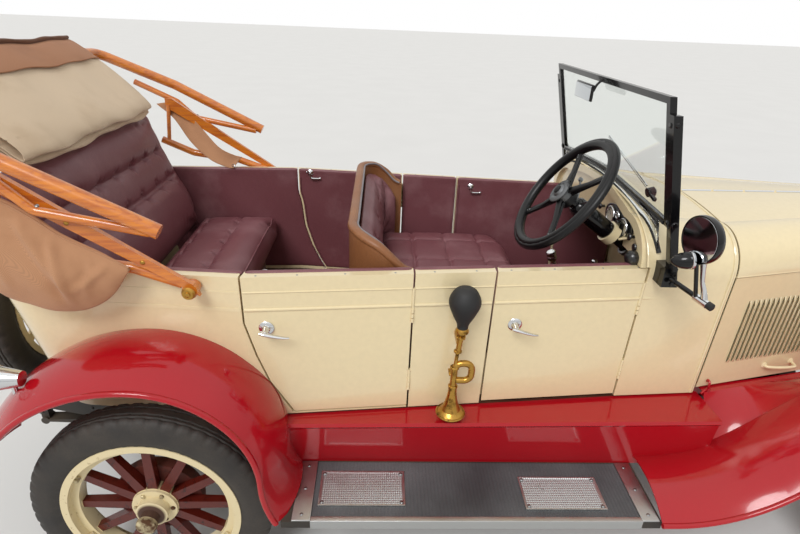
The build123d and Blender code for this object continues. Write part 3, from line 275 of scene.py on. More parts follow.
def usedMetal(tree, own):
    # Bare or painted metal in use: smears, fine scratches and spots of tarnish or rust.
    at = place3(tree)
    edge = own["Amount"] * -0.45 + 0.78
    mask = at.noise(own["Spot Scale"], 8, 0.65).spread(edge, edge + 0.12)
    smear = at.noise(19, 4).spread(0.35, 0.7, 0.0, 0.12)
    rough = (own["Gloss"] + smear).reckon("ADD", mask * 0.5, True)
    scratch = at.vector("MULTIPLY", (220.0, 14.0, 60.0)).noise(3.0, 2)
    return mask.mix(own["Color"], own["Tarnish"]), rough, scratch * 0.3 + mask * 0.5


def makeGroup(build, **sockets):
    # A node group from an effect, its inputs named by their kind.
    tree = bpy.data.node_groups.new(build.__name__, "ShaderNodeTree")
    for kind, labels in sockets.items():
        for label in labels:
            tree.interface.new_socket(label, in_out="INPUT", socket_type="NodeSocket" + kind)
    for label, kind in (("Color", "Color"), ("Roughness", "Float"), ("Height", "Float")):
        tree.interface.new_socket(label, in_out="OUTPUT", socket_type="NodeSocket" + kind)
    came = tree.nodes.new("NodeGroupInput").outputs
    own = {label: Value(tree, came[label]) for labels in sockets.values() for label in labels}
    out = tree.nodes.new("NodeGroupOutput")
    setInputs(tree, out, dict(zip(("Color", "Roughness", "Height"), build(tree, own))))
    return tree


groups = {
    "paint": makeGroup(coachPaint, Color=("Color", "Dust"), Float=("Dust Amount", "Gloss", "Mottle")),
    "leather": makeGroup(leathercloth, Color=("Color", "Worn Color"), Float=("Pebble Scale", "Wear")),
    "cloth": makeGroup(wovenCloth, Vector=("Vector",), Color=("Color", "Stain Color"),
        Float=("Thread Scale", "Stain")),
    "wood": makeGroup(woodGrain, Color=("Light", "Dark"), Vector=("Stretch",), Float=("Scale",)),
    "metal": makeGroup(usedMetal, Color=("Color", "Tarnish"), Float=("Amount", "Gloss", "Spot Scale")),
}


def makeFinish(kind, name, values, bump, distance, settings):
    # A material from a shared effect: values go in, its outputs and settings to the shader.
    made, tree, shader = startMaterial(name)
    if kind == "cloth":
        values = {"Vector": place3(tree), **values}
    came = addNode(tree, "Group", values, node_tree=groups[kind]).outputs
    setInputs(tree, shader, {"Base Color": came["Color"], "Roughness": came["Roughness"],
        "Normal": Value(tree, came["Height"]).bump(bump, distance), **settings})
    return made


def paintFinish(name, color, gloss, dust, coat, mottle=0.02, dustColor="8d7b62", shine=0.5):
    return makeFinish("paint", name,
        {"Color": color, "Dust": dustColor, "Dust Amount": dust, "Gloss": gloss, "Mottle": mottle},
        0.06, 0.004, {"Coat Weight": coat, "Coat Roughness": 0.06, "Specular IOR Level": shine})


def leatherFinish(name, color, worn, wear, pebble=520.0):
    return makeFinish("leather", name, {"Color": color, "Worn Color": worn, "Pebble Scale": pebble,
        "Wear": wear}, 0.35, 0.0022, {"Specular IOR Level": 0.45})


def clothFinish(name, color, stain, amount, threads=420.0):
    return makeFinish("cloth", name, {"Color": color, "Stain Color": stain, "Thread Scale": threads,
        "Stain": amount}, 0.35, 0.0008, {"Sheen Weight": 0.15, "Specular IOR Level": 0.2})


def woodFinish(name, pale, deep, stretch=(1.0, 9.0, 9.0), coat=0.7):
    return makeFinish("wood", name, {"Light": pale, "Dark": deep, "Stretch": stretch, "Scale": 6.0},
        0.15, 0.001, {"Coat Weight": coat, "Coat Roughness": 0.12})


def metalFinish(name, color, tarnish, amount, gloss, metallic=1.0, spots=14.0, bump=0.1):
    return makeFinish("metal", name, {"Color": color, "Tarnish": tarnish, "Amount": amount,
        "Gloss": gloss, "Spot Scale": spots}, bump, 0.001, {"Metallic": metallic})


def glassFinish(name):
    made, tree, shader = startMaterial(name)
    setInputs(tree, shader, {"Base Color": (0.94, 0.98, 0.96, 1), "Roughness": 0.02,
        "Transmission Weight": 1.0, "IOR": 1.45})
    return made


# Surfaces worked out on grids
def curve(points, steps):
    # Smooth line through points: between two of them a cubic whose end slopes are half the
    # difference of their neighbours.
    p = asarray(points, float)
    ends = vstack([2 * p[0] - p[1], p, 2 * p[-1] - p[-2]])
    s = linspace(0, len(p) - 1, steps * (len(p) - 1) + 1)
    k = minimum(s.astype(int), len(p) - 2)
    t = (s - k)[:, None]
    a, b, c, d = ends[k], ends[k + 1], ends[k + 2], ends[k + 3]
    return 0.5 * (2 * b + (c - a) * t + (2 * a - 5 * b + 4 * c - d) * t ** 2
        + (3 * b - a - 3 * c + d) * t ** 3)


def xyz(x, y, z):
    # Points from three coordinates, each a number or an array.
    return stack(np.broadcast_arrays(x, y, z), -1)


def unit(a):
    # Vectors over their own length.
    return a / maximum(norm(a, axis=-1, keepdims=True), 1e-12)


def along(path, profile, up, closed):
    # A profile carried along a path: side is up crossed with the way ahead, over is square to
    # both, and each ring is path + side * first + over * second.
    path = asarray(path, float)
    if closed:
        ahead = np.roll(path, -1, 0) - np.roll(path, 1, 0)
    else:
        ahead = np.gradient(path, axis=0)
    ahead = unit(ahead)
    side = unit(cross(np.broadcast_to(up, ahead.shape), ahead))
    over = cross(ahead, side)
    return (path[:, None, :] + side[:, None, :] * profile[..., 0:1]
        + over[:, None, :] * profile[..., 1:2])


def turns(count):
    # Angles of one full turn, its end left out.
    return linspace(0, 2 * pi, count, endpoint=False)


def ring(radius, count):
    # Points round a circle, in plane coordinates.
    a = turns(count)
    return stack([cos(a), sin(a)], -1) * radius


def roundRect(width, height, radius, corner=4):
    # Rectangle with quarter-circle corners, as points round it; sizes may be arrays.
    width, height, radius = (asarray(v, float)[..., None] for v in (width, height, radius))
    a = concatenate([linspace(q, q + 0.5, corner) for q in (0, 0.5, 1, 1.5)]) * pi
    sx = np.repeat([1, -1, -1, 1], corner)
    sy = np.repeat([1, 1, -1, -1], corner)
    x = sx * (width / 2 - radius) + radius * cos(a)
    y = sy * (height / 2 - radius) + radius * sin(a)
    return stack([x, y], -1)


def capped(rings):
    # Close both ends of a run of rings with a last ring drawn in to its middle.
    first = np.repeat(rings[:1].mean(1, keepdims=True), rings.shape[1], 1)
    last = np.repeat(rings[-1:].mean(1, keepdims=True), rings.shape[1], 1)
    return concatenate([first, rings, last])


def grid(points, closeU=False, closeV=False):
    # Quads over an array of rows and columns; a closed way joins its last line to its first.
    # UV is the distance along each way.
    points = asarray(points, float)
    rows, cols = points.shape[:2]
    i, j = meshgrid(arange(rows if closeU else rows - 1), arange(cols if closeV else cols - 1),
        indexing="ij")
    i2, j2 = (i + 1) % rows, (j + 1) % cols
    quads = stack([i * cols + j, i2 * cols + j, i2 * cols + j2, i * cols + j2], -1)
    du = norm(np.diff(points, axis=0), axis=-1).mean(1)
    dv = norm(np.diff(points, axis=1), axis=-1).mean(0)
    u = concatenate([[0], np.cumsum(du)])
    v = concatenate([[0], np.cumsum(dv)])
    uv = stack(np.broadcast_arrays(v[None, :], u[:, None]), -1)
    return points.reshape(-1, 3), quads.reshape(-1, 4), uv.reshape(-1, 2)


def strand(path, profile, up=(0, 0, 1), closed=False):
    # A section carried along a path, which is a loop or has both its ends closed.
    rings = along(path, profile, up, closed)
    return grid(rings if closed else capped(rings), closeU=closed, closeV=True)


def tube(path, radius, sides=10, up=(0, 0, 1), closed=False):
    # Round bar along a path, of one radius or of one for each of its points.
    radius = asarray(radius, float)
    profile = ring(1.0, sides) * (radius[:, None, None] if radius.ndim else radius)
    return strand(path, profile, up, closed)


def bar(a, b, width, height, radius, up=(0, 0, 1)):
    # Bar with rounded edges from a to b: a rounded rectangle that draws in at both ends along
    # a quarter circle.
    a, b = asarray(a, float), asarray(b, float)
    length = norm(b - a)
    t = linspace(0, pi / 2, 4)
    inset, step = radius * (1 - sin(t)), radius * (1 - cos(t))
    inset = concatenate([inset, inset[::-1]])
    far = concatenate([step, length - step[::-1]])
    profile = roundRect(width - 2 * inset, height - 2 * inset, maximum(radius - inset, radius * 0.05))
    path = a + (b - a) / length * far[:, None]
    return strand(path, profile, up)


def spin(profile, centre, axis, count):
    # Surface of revolution: profile rows are (distance along the axis, radius).
    profile = asarray(profile, float)
    axis = unit(asarray(axis, float))
    other = array([0, 0, 1.0]) if abs(axis[2]) < 0.9 else array([1.0, 0, 0])
    first = unit(cross(axis, other))
    second = cross(axis, first)
    a = turns(count)
    round1 = first * cos(a)[:, None] + second * sin(a)[:, None]
    points = (asarray(centre, float) + axis * profile[:, None, 0:1]
        + round1[None] * profile[:, None, 1:2])
    return grid(points, closeV=True)


def mirrored(part):
    # The same surface on the other side of the car, its quads turned to face outwards.
    points, quads, uv = part
    return points * array([1, -1, 1]), quads[:, ::-1], uv


def bothSides(parts):
    # Parts and their mirror images.
    return parts + [mirrored(part) for part in parts]


def addPiece(name, parts, material, body="car_body", crease=38, stands=(), thick=0.0):
    # One object from several grids in millimetres: vertices and quads joined end to end,
    # doubles merged.
    sizes = np.cumsum([0] + [len(p[0]) for p in parts])
    points = row(concatenate([p[0] for p in parts]))
    quads = concatenate([p[1] + n for p, n in zip(parts, sizes)])
    uv = concatenate([p[2] for p in parts]) / 1000
    mesh = bpy.data.meshes.new(name)
    mesh.vertices.add(len(points))
    mesh.vertices.foreach_set("co", points.ravel())
    mesh.loops.add(quads.size)
    mesh.loops.foreach_set("vertex_index", quads.ravel())
    mesh.polygons.add(len(quads))
    mesh.polygons.foreach_set("loop_start", arange(0, quads.size, 4))
    mesh.uv_layers.new(name="UVMap").data.foreach_set("uv", uv[quads.ravel()].ravel())
    mesh.update(calc_edges=True)
    mesh.validate()
    clean = bmesh.new()
    clean.from_mesh(mesh)
    bmesh.ops.remove_doubles(clean, verts=clean.verts, dist=1e-6)
    bmesh.ops.recalc_face_normals(clean, faces=clean.faces)
    clean.to_mesh(mesh)
    clean.free()
    mesh.polygons.foreach_set("use_smooth", np.ones(len(mesh.polygons), bool))
    mesh.set_sharp_from_angle(angle=math.radians(crease))
    mesh.materials.append(material)
    obj = bpy.data.objects.new(name, mesh)
    bpy.context.scene.collection.objects.link(obj)
    if thick:
        wall = obj.modifiers.new("thickness", "SOLIDIFY")
        wall.thickness, wall.offset = thick, -1
    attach(obj, body)
    if stands:
        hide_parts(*stands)
    return obj


def addPair(name, parts, material, holder, **more):
    # A right-hand piece and its mirror image; the holder may name the body on that side.
    sides = (("right", parts), ("left", [mirrored(part) for part in parts]))
    return [addPiece(name + side.title(), turned, material, holder.format(side), **more)
        for side, turned in sides]


def dress(material, *names):
    # Give CAD nodes a finish through their objects' material slots.
    for name in names:
        for holder in nodes[name].material_slots:
            holder.link = "OBJECT"
            holder.material = material


# Finishes of the fixed parts
cream = paintFinish("creamCoachPaint", "e6d5ac", gloss=0.20, dust=0.2, coat=0.55)
red = paintFinish("cherryRedPaint", "a90518", gloss=0.16, dust=0.08, coat=0.55, mottle=0.015,
    shine=0.25)
black = paintFinish("glossBlackPaint", "08080a", gloss=0.2, dust=0.1, coat=0.35, shine=0.25)
chassisBlack = paintFinish("chassisBlackPaint", "17171a", gloss=0.42, dust=0.7, coat=0.1)
iron = metalFinish("paintedIron", "3d4442", "4b3423", amount=0.5, gloss=0.5, metallic=0.3)
rust = metalFinish("rustyExhaust", "4d4039", "6b3a1e", amount=1.0, gloss=0.65, metallic=0.4, bump=0.4)
chrome = metalFinish("brightPlate", "d9dbdd", "8f8f8c", amount=0.05, gloss=0.06)
steel = metalFinish("dullSteel", "8d8f90", "5a4636", amount=0.35, gloss=0.32)
aluminium = metalFinish("brushedAluminium", "b9bbbb", "7d7a74", amount=0.3, gloss=0.36, bump=0.3)
brass = metalFinish("hornBrass", "b98f45", "5d4420", amount=0.55, gloss=0.24, spots=22.0)
maroon = leatherFinish("maroonLeathercloth", "7a474d", "9c7377", wear=0.5)
tan = leatherFinish("tanLeathercloth", "94603a", "b08058", wear=0.5, pebble=380.0)
hoodCloth = clothFinish("beigeHoodCloth", "e9d2b4", "b2936e", amount=0.3)
tanCloth = clothFinish("tanLining", "c6936e", "9c6a48", amount=0.35)
carpet = clothFinish("brownFloorMat", "6b3a22", "3c2114", amount=0.5, threads=160.0)
ash = woodFinish("varnishedAsh", "da8128", "b86020", stretch=(1.2, 14.0, 14.0))
boards = woodFinish("floorBoards", "4a3424", "291a10", coat=0.05)
glass = glassFinish("windscreenGlass")
rubber = paintFinish("blackRubber", "1a1a1b", gloss=0.62, dust=0.35, coat=0.0, mottle=0.05)
handRubber = paintFinish("hardRubberGrip", "0b0b0d", gloss=0.38, dust=0.05, coat=0.0, shine=0.35)

dress(cream, "cowl", "centre_pillars", "rear_tub", "front_door_right", "front_door_left",
    "rear_door_right", "rear_door_left", "bonnet_top_right", "bonnet_top_left", "bonnet_side_right",
    "bonnet_side_left", "spare_rim")
dress(red, "front_fenders", "rear_fenders", "splash_aprons")
dress(black, "windscreen_frame", "side_mirror", "steering_column")
dress(chassisBlack, "chassis_rails", "chassis_cross_members", "front_axle", "rear_axle", "leaf_springs",
    "fuel_tank", "right_knuckle", "left_knuckle", "track_rod")
dress(iron, "engine_block", "gearbox_and_torque_tube")
dress(rust, "exhaust")
dress(chrome, "radiator", "lamps", "lamp_bar", "hand_levers")
dress(brass, "bulb_horn")
dress(tan, "front_seat_shell")
dress(maroon, "front_seat_upholstery", "rear_seat_upholstery")
dress(hoodCloth, "hood_fabric")
dress(ash, "hood_bows")
dress(boards, "floor")
dress(glass, "windscreen_glass")
dress(rubber, "running_boards", "spare_tyre")
dress(handRubber, "steering_wheel")
for end in ("front", "rear"):
    for side in ("right", "left"):
        dress(rubber, f"{end}_{side}_tyre")
print("stage: finishes on the car's own parts")


# Wheels and tyres
wheelSet = {
    "frontX": 2718, "rearX": 0, "offset": 711, "height": 381,
    "groove": 4.5, "blocks": 52, "around": 416,
    "lugs": 6, "lugRadius": 252, "hubBolts": 6, "hubBoltRadius": 59,
    "spareX": -643, "spareHeight": 790,
}


def tyreSurface(centre, axle):
    # Profile rows of (across, radius) turned about the axle. On the crown, radius drops by the
    # groove where a zigzag rib line or a shoulder slot runs; the sidewall has raised rings.
    w = wheelSet
    across = array([-44, -47, -53, -56.5, -57, -56.5, -54.5, -51, -47, -43, -40, -36, -33.5, -31, -28,
        -25, -22, -19, -16.5, -14.5, -12, -9, -6, -3, 0])
    radius = array([270, 284, 296, 308, 322, 337, 349, 359.5, 367.5, 372.8, 375.3, 377.6, 378.8, 379.2,
        379.7, 380.1, 380.3, 380.5, 380.7, 380.8, 380.9, 381, 381, 381, 381])
    across = concatenate([across, -across[-2::-1]])
    radius = concatenate([radius, radius[-2::-1]])
    theta = turns(w["around"])[None, :]
    y, r = across[:, None], radius[:, None]
    phase = theta * w["blocks"] / (2 * pi) * sign(y + 1e-6)
    zigzag = 2.6 * abs(2 * (phase % 1) - 1) - 1.3
    rib = abs(abs(y) - 15 - zigzag) < 1.9
    slot = (abs(y) > 28) & (abs(y) < 52) & ((phase % 1) < 0.36)
    edge = abs(abs(y) - 27.5) < 1.4
    drop = where(rib | edge, w["groove"], where(slot, w["groove"] * 0.8, 0.0))
    side = where((abs(y) > 52.5) & (r > 300) & (r < 312), 1.0, 0)
    first, second = array([0, 0, 1.0]), cross(axle, [0, 0, 1.0])
    spoke = first * cos(theta)[..., None] + second * sin(theta)[..., None]
    axle, centre = array(axle), array(centre)
    outer = axle * (y + sign(y) * side)[..., None] + spoke * (r - drop)[..., None]
    inner = axle * (y * 0.93)[..., None] + spoke * minimum(r - 9, 268.5)[..., None]
    return grid(centre + concatenate([outer, inner[::-24]]), closeU=True, closeV=True)


def hexBolt(at, out, size, height):
    # Six-sided head with a chamfered crown, on a round washer, facing along out.
    head = [(0, 0), (0, size * 1.25), (1.4, size * 1.25), (1.4, size), (height - 1, size),
        (height, size * 0.84), (height, 0)]
    return spin(head, at, out, 6)


def domeScrew(at, out, size, height, sunk=0.5):
    # Round head that starts sunk in the face: a quarter ellipse turned about the way out.
    t = linspace(0, pi / 2, 5)
    head = stack([height * sin(t), size * cos(t)], -1)
    return spin(vstack([[-sunk, size], head]), at, out, 12)


def makeWheelMaterial(name, centreX):
    # Cream rim and hub, dark red spokes, rusty drum: masks of radius about the axle and of Y.
    made, tree, shader = startMaterial(name)
    at = place3(tree)
    height = wheelSet["height"] / 1000
    flat = at.vector("SUBTRACT", (centreX, 0, height)).vector("MULTIPLY", (1, 0, 1))
    radius = flat.vector("LENGTH", output="Value")
    depth = at.part("Y").reckon("ABSOLUTE")
    spoke = radius.spread(0.0735, 0.0745) * radius.spread(0.2335, 0.2345, 1.0, 0.0)
    drum = depth.spread(0.6925, 0.6935, 1.0, 0.0) * radius.spread(0.225, 0.226, 1.0, 0.0)
    tip = depth.spread(0.764, 0.767) * radius.spread(0.047, 0.049, 1.0, 0.0)
    worn = at.noise(38, 6, 0.65)
    scrape = worn.spread(0.55, 0.66)
    pale = worn.spread(0.62, 0.72, 0.0, 0.8).mix("ddcda4", "8a6a48")
    color = spoke.mix(pale, scrape.mix("571a12", "3a120d"))
    color = tip.mix(drum.mix(color, scrape.mix("5a2a20", "33201a")), "4c3327")
    setInputs(tree, shader, {"Base Color": color, "Normal": worn.bump(0.12, 0.002),
        "Roughness": drum.reckon("MAXIMUM", tip).spread(0, 1, 0.26, 0.7)})
    return made


def tyreFinish():
    # Dusty black rubber, browner by noise and in the grooves.
    made, tree, shader = startMaterial("tyreRubber")
    at = place3(tree)
    grit = at.noise(240, 3, 0.7)
    deep = put(tree, "NewGeometry", None, "Pointiness").spread(0.42, 0.52, 1.0, 0.0)
    amount = at.noise(6, 5, 0.6).spread(0.35, 0.7, 0.15, 0.75) * grit.spread(0.35, 0.65, 0.5, 1.0)
    dusty = (amount * 0.5).reckon("MAXIMUM", deep * 0.35)
    setInputs(tree, shader, {"Base Color": dusty.mix("1d1c1c", "6d6256"),
        "Roughness": dusty.spread(0.0, 0.6, 0.55, 0.85), "Normal": grit.bump(0.2, 0.001)})
    return made


def wheelFittings(centre, side):
    # Rim lugs with their nuts, hub bolts and a valve, placed round the axle; side is -1 right.
    w = wheelSet
    centre, out = asarray(centre), array([0, side, 0.0])
    parts = []

    def spoke(a):
        return array([math.cos(a), 0, math.sin(a)])

    for a in turns(w["lugs"]):
        way = spoke(a + math.pi / w["lugs"])
        at = centre + way * w["lugRadius"] + out * 24
        parts.append(bar(at - way * 8 + out * 3, at + way * 22 + out * 7, 26, 9, 3, up=out))
        parts.append(hexBolt(at + out * 7, out, 8, 8))
    for a in turns(w["hubBolts"]):
        parts.append(hexBolt(centre + spoke(a) * w["hubBoltRadius"] + out * 26, out, 6.5, 6))
    way = spoke(1.31)
    stem = centre + way * 262
    parts.append(tube(stem + out * 12 - way * array([[0], [9], [22]]) + out * array([[0], [3], [8]]),
        3.6, 8, up=(0.3, 0.1, 0.2)))
    parts.append(spin([(0, 0), (0, 32), (3, 33), (14, 31), (18, 24), (20, 12), (20, 0)],
        centre + out * 86, out, 28))
    return parts


tyreRubber = tyreFinish()
lugMetal = metalFinish("rimLugMetal", "c9bb95", "5a3d28", amount=0.75, gloss=0.4, metallic=0.35)
for end, x in (("front", wheelSet["frontX"]), ("rear", wheelSet["rearX"])):
    wheelPaint = makeWheelMaterial(end + "WheelPaint", x / 1000 + car["rearAxle"])
    for name, side in (("right", -1), ("left", 1)):
        body = f"{end}_{name}_road_wheel"
        centre = (x, side * wheelSet["offset"], wheelSet["height"])
        made = addPiece(f"{end}{name.title()}Tyre", [tyreSurface(centre, (0, 1, 0))], tyreRubber, body,
            crease=50, stands=[f"{end}_{name}_tyre"])
        addPiece(f"{end}{name.title()}WheelFittings", wheelFittings(centre, side), lugMetal, body)
        dress(wheelPaint, f"{end}_{name}_wheel")
spareCentre = (wheelSet["spareX"], 0, wheelSet["spareHeight"])
spare = addPiece("spareTyreTread", [tyreSurface(spareCentre, (1, 0, 0))], tyreRubber, crease=50,
    stands=["spare_tyre"])
print("stage: wheels and tyres")


# Mouldings, handles and trim of the body's sides
body = {
    "doorBack": 310,
    "upperBead": 1106, "lowerBead": 1046, "tailBelt": -503, "tailLow": -372, "corner": 150,
}


def tailFace(z):
    # X of the tail's face: it moves forwards evenly with the drop below the belt.
    share = (car["belt"] - z) / (car["belt"] - car["bodyLow"])
    return body["tailBelt"] + (body["tailLow"] - body["tailBelt"]) * share


def sideHalf(x, z):
    # Half width of the body's side: bodyHalf ahead of the rear door's back edge, and behind it
    # a straight line to where the tail's corner begins.
    front = bodyHalf(body["doorBack"], z)
    rear = car["tailHalf"] - car["lean"] * (car["belt"] - z)
    start = tailFace(z) + body["corner"]
    far = rear + (front - rear) * (x - start) / (body["doorBack"] - start)
    return where(x >= body["doorBack"], bodyHalf(x, z), far)


def sidePath(x0, x1, z):
    # Points along the right-hand side's skin at one height.
    x = linspace(x0, x1, 24)
    return xyz(x, -sideHalf(x, z), z)


def tailPath(z):
    # Round the tub at one height: along one side, a quarter circle, across the tail and back.
    r = body["corner"]
    start = tailFace(z) + r
    rear = car["tailHalf"] - car["lean"] * (car["belt"] - z)
    x = linspace(300, start, 18)[:-1]
    a = linspace(0, pi / 2, 12)
    turn = xyz(start - r * sin(a), -(rear - r + r * cos(a)), z)
    half = vstack([xyz(x, -sideHalf(x, z), z), turn])
    return vstack([half, half[::-1] * [1, -1, 1]])


def moulding(path, width, height):
    # Strip along a path that is turned round to run from front to rear: its section is a half
    # ellipse standing out from the panel, closed just inside it.
    t = linspace(0, pi, 6)
    round1 = stack([height * sin(t), width / 2 * cos(t)], -1)
    return strand(path[::-1], vstack([[-1.0, width / 2], round1, [-1.0, -width / 2]]))


frontLeaf, rearLeaf = "front_door_{}_leaf", "rear_door_{}_leaf"
beadSizes = ((body["upperBead"], 6.0, 2.6), (body["lowerBead"], 11.0, 4.2))
for name, x0, x1, holder in (("frontDoor", 1079, 1566, frontLeaf), ("rearDoor", 312, 813, rearLeaf),
        ("centrePillar", 823, 1069, "car_body"), ("cowlSide", 1576, 1650, "car_body")):
    strips = [moulding(sidePath(x0, x1, z), w, h) for z, w, h in beadSizes]
    addPair(name + "Beads", strips, cream, holder)
tubStrips = [moulding(tailPath(z), w, h) for z, w, h in beadSizes]
addPiece("tubBeads", tubStrips, cream)


def arcThrough(a, m, b, count):
    # Circle through three points, as points along it from a by way of m to b.
    a, m, b = (asarray(p, float) for p in (a, m, b))
    ab, am = b - a, m - a
    normal = cross(am, ab)
    centre = a + (cross(normal, am) * ab.dot(ab)
        + cross(ab, normal) * am.dot(am)) / (2 * normal.dot(normal))
    first = a - centre
    radius = norm(first)
    first = first / radius
    axis = unit(normal)
    second = cross(axis, first)
    end = math.atan2((b - centre).dot(second), (b - centre).dot(first)) % (2 * math.pi)
    t = linspace(0, end, count)[:, None]
    return centre + radius * (first * cos(t) + second * sin(t))


def cowlSection(x, w, top, cornerZ, s, sz, low):
    # Across the scuttle at half width w: straight sides, shoulders rounded in by s and up to
    # sz, and an arched top.
    foot = w - car["lean"] * (cornerZ - low)
    midY, midZ = w - 0.2 * s, cornerZ + 0.7 * (sz - cornerZ)
    right = arcThrough((x, -w, cornerZ), (x, -midY, midZ), (x, -w + s, sz), 9)
    over = arcThrough((x, -w + s, sz), (x, 0, top), (x, w - s, sz), 21)
    left = right[::-1] * [1, -1, 1]
    side = linspace([x, -foot, low], [x, -w, cornerZ], 12)[:-1]
    return vstack([side, right[:-1], over[:-1], left, side[::-1] * [1, -1, 1]])


bonnet = {"backX": 1886, "frontX": 2649, "backHalf": 453, "frontHalf": 270, "backCorner": 1105,
    "frontCorner": 1120, "louvres": 24, "pitch": 21, "first": 1978, "louvreLow": 758,
    "louvreHigh": 1022}
seamPath = cowlSection(1868, 454.2, 1276.2, 1105, 160, 1255, 640)
addPiece("cowlSeamBead", [strand(seamPath, ring(5.5, 8), up=(1, 0, 0))], cream)


def bonnetHalf(x, z):
    # Half width of the bonnet's side panel at X, leaning in below its hinge.
    t = (x - bonnet["backX"]) / (bonnet["frontX"] - bonnet["backX"])
    half = bonnet["backHalf"] + (bonnet["frontHalf"] - bonnet["backHalf"]) * t
    corner = bonnet["backCorner"] + (bonnet["frontCorner"] - bonnet["backCorner"]) * t
    return half - car["lean"] * (corner - z)


def louvre(x0):
    # One pressed louvre: its back edge stands off the panel and it falls to nothing at the
    # front, both as sine curves, and it is rounded off at top and bottom.
    a = linspace(0, 1, 6)[None, :]
    b = linspace(0, 1, 15)[:, None]
    z = bonnet["louvreLow"] + (bonnet["louvreHigh"] - bonnet["louvreLow"]) * b
    x = x0 + 2 + 15 * a
    ends = clip(minimum(b, 1 - b) / 0.045, 0, 1) ** 0.5
    lift = 8.0 * cos(a * pi / 2) * ends
    y = -(bonnetHalf(x, z) + lift + 0.4)
    outer = xyz(x, y, z)
    inner = outer + [0, 1.6, 0]
    return grid(concatenate([outer, inner[:, ::-1]], 1), closeV=True)


fins = [louvre(bonnet["first"] + k * bonnet["pitch"]) for k in range(bonnet["louvres"])]
addPair("bonnetLouvres", fins, cream, "bonnet_side_{}_leaf")
print("stage: mouldings and louvres")


# Soft pieces: rounded blocks, swollen by a cloth simulation, then tufted
def blockGrids(size, steps, radius, warp):
    # Six grids over a block with round edges: a point of the plain block is drawn to its inner
    # core's nearest point plus the radius times the way out, and warp places it in the car.
    half = asarray(size, float) / 2
    core = half - radius
    lines = []
    for h, step in zip(half, steps):
        count = max(3, int(round(2 * h / step)) + 1)
        lines.append(linspace(-h, h, count))
    parts = []
    for axis in range(3):
        a, b = [k for k in range(3) if k != axis]
        for end in (-1, 1):
            u, v = meshgrid(lines[a], lines[b], indexing="ij")
            flat = np.zeros(u.shape + (3,))
            flat[..., a], flat[..., b], flat[..., axis] = u, v, end * half[axis]
            inner = clip(flat, -core, core)
            points = inner + unit(flat - inner) * radius
            parts.append(grid(warp(points)))
    return parts


def takeMesh(obj):
    # Turn an object's live modifiers, with one subdivision, into its real mesh.
    smooth = obj.modifiers.new("smooth", "SUBSURF")
    smooth.levels = smooth.render_levels = 1
    bpy.context.view_layer.update()
    seen = obj.evaluated_get(bpy.context.evaluated_depsgraph_get())
    made = bpy.data.meshes.new_from_object(seen)
    obj.modifiers.clear()
    made.materials.clear()
    made.materials.append(obj.data.materials[0])
    obj.data = made
    made.polygons.foreach_set("use_smooth", np.ones(len(made.polygons), bool))


def vertices(mesh, kind="co"):
    # Places or normals of all vertices, as rows.
    values = np.empty(len(mesh.vertices) * 3)
    mesh.vertices.foreach_get(kind, values)
    return values.reshape(-1, 3)


def swell(obj, held, cap):
    # Blow the piece up as cloth under pressure with the held vertices pinned, and keep each
    # vertex's travel under the cap.
    before = vertices(obj.data)
    group = obj.vertex_groups.new(name="held")
    group.add([int(k) for k in np.nonzero(held)[0]], 1.0, "REPLACE")
    cloth = obj.modifiers.new("cloth", "CLOTH")
    cloth.settings.use_pressure = True
    cloth.settings.uniform_pressure_force = 4.0
    cloth.settings.effector_weights.gravity = 0
    cloth.settings.vertex_group_mass = "held"
    cloth.settings.tension_stiffness = cloth.settings.compression_stiffness = 12
    cloth.settings.bending_stiffness = 0.6
    scene = bpy.context.scene
    scene.frame_start, scene.frame_end = 1, 20
    for step in range(1, 21):
        scene.frame_set(step)
    seen = obj.evaluated_get(bpy.context.evaluated_depsgraph_get())
    after = vertices(seen.data)
    travel = after - before
    far = norm(travel, axis=1, keepdims=True)
    obj.modifiers.clear()
    obj.vertex_groups.clear()
    new = before + travel * minimum(1, cap / maximum(far, 1e-9))
    obj.data.vertices.foreach_set("co", new.ravel())
    obj.data.update()
    scene.frame_set(1)


def toLines(points, lines):
    # Distance from each point to the nearest of several runs of straight pieces.
    near = np.full(len(points), 1e9)
    for line in lines:
        line = asarray(line, float)
        a, b = line[:-1], line[1:]
        way = b - a
        t = ((points[:, None] - a) * way).sum(-1) / maximum((way * way).sum(-1), 1e-12)
        foot = a + way * clip(t, 0, 1)[..., None]
        near = minimum(near, norm(points[:, None] - foot, axis=-1).min(1))
    return near


def tuft(obj, flatten, face, lines, buttons, depth=(7.0, 13.0), wide=(5.0, 15.0)):
    # Press creases and buttons in: along -normal by line depth * exp(-(d / width) ** 2) plus
    # button depth * exp(-(r / width) ** 2), with six radial pleats round every button.
    # flatten gives a vertex's place on the plan in millimetres; face picks what they act on.
    points = vertices(obj.data)
    way = vertices(obj.data, "normal")
    plan = flatten(points)
    acting = face(points, way)
    away = toLines(plan, lines)
    drop = depth[0] * exp(-(away / wide[0]) ** 2)
    drop += depth[0] * 0.45 * exp(-(away / (wide[0] * 4)) ** 2)
    for spot in buttons:
        off = plan - asarray(spot, float)
        r = norm(off, axis=1)
        turn = np.arctan2(off[:, 1], off[:, 0])
        drop += depth[1] * exp(-(r / wide[1]) ** 2)
        drop += 1.4 * cos(6 * turn + spot[0]) * exp(-((r - 24) / 13) ** 2)
    points = points - way * (drop * acting / 1000)[:, None]
    obj.data.vertices.foreach_set("co", points.ravel())
    obj.data.update()


def surfaceAt(obj, starts, way):
    # Where rays from the starts meet the piece, in millimetres; a miss gives the start.
    tree = BVHTree.FromPolygons([tuple(p) for p in vertices(obj.data)],
        [tuple(face.vertices) for face in obj.data.polygons])
    starts = row(starts)
    hits = [tree.ray_cast(Vector(start), Vector(way), 0.4)[0] for start in starts]
    return toCar(array([start if hit is None else tuple(hit) for start, hit in zip(starts, hits)]))


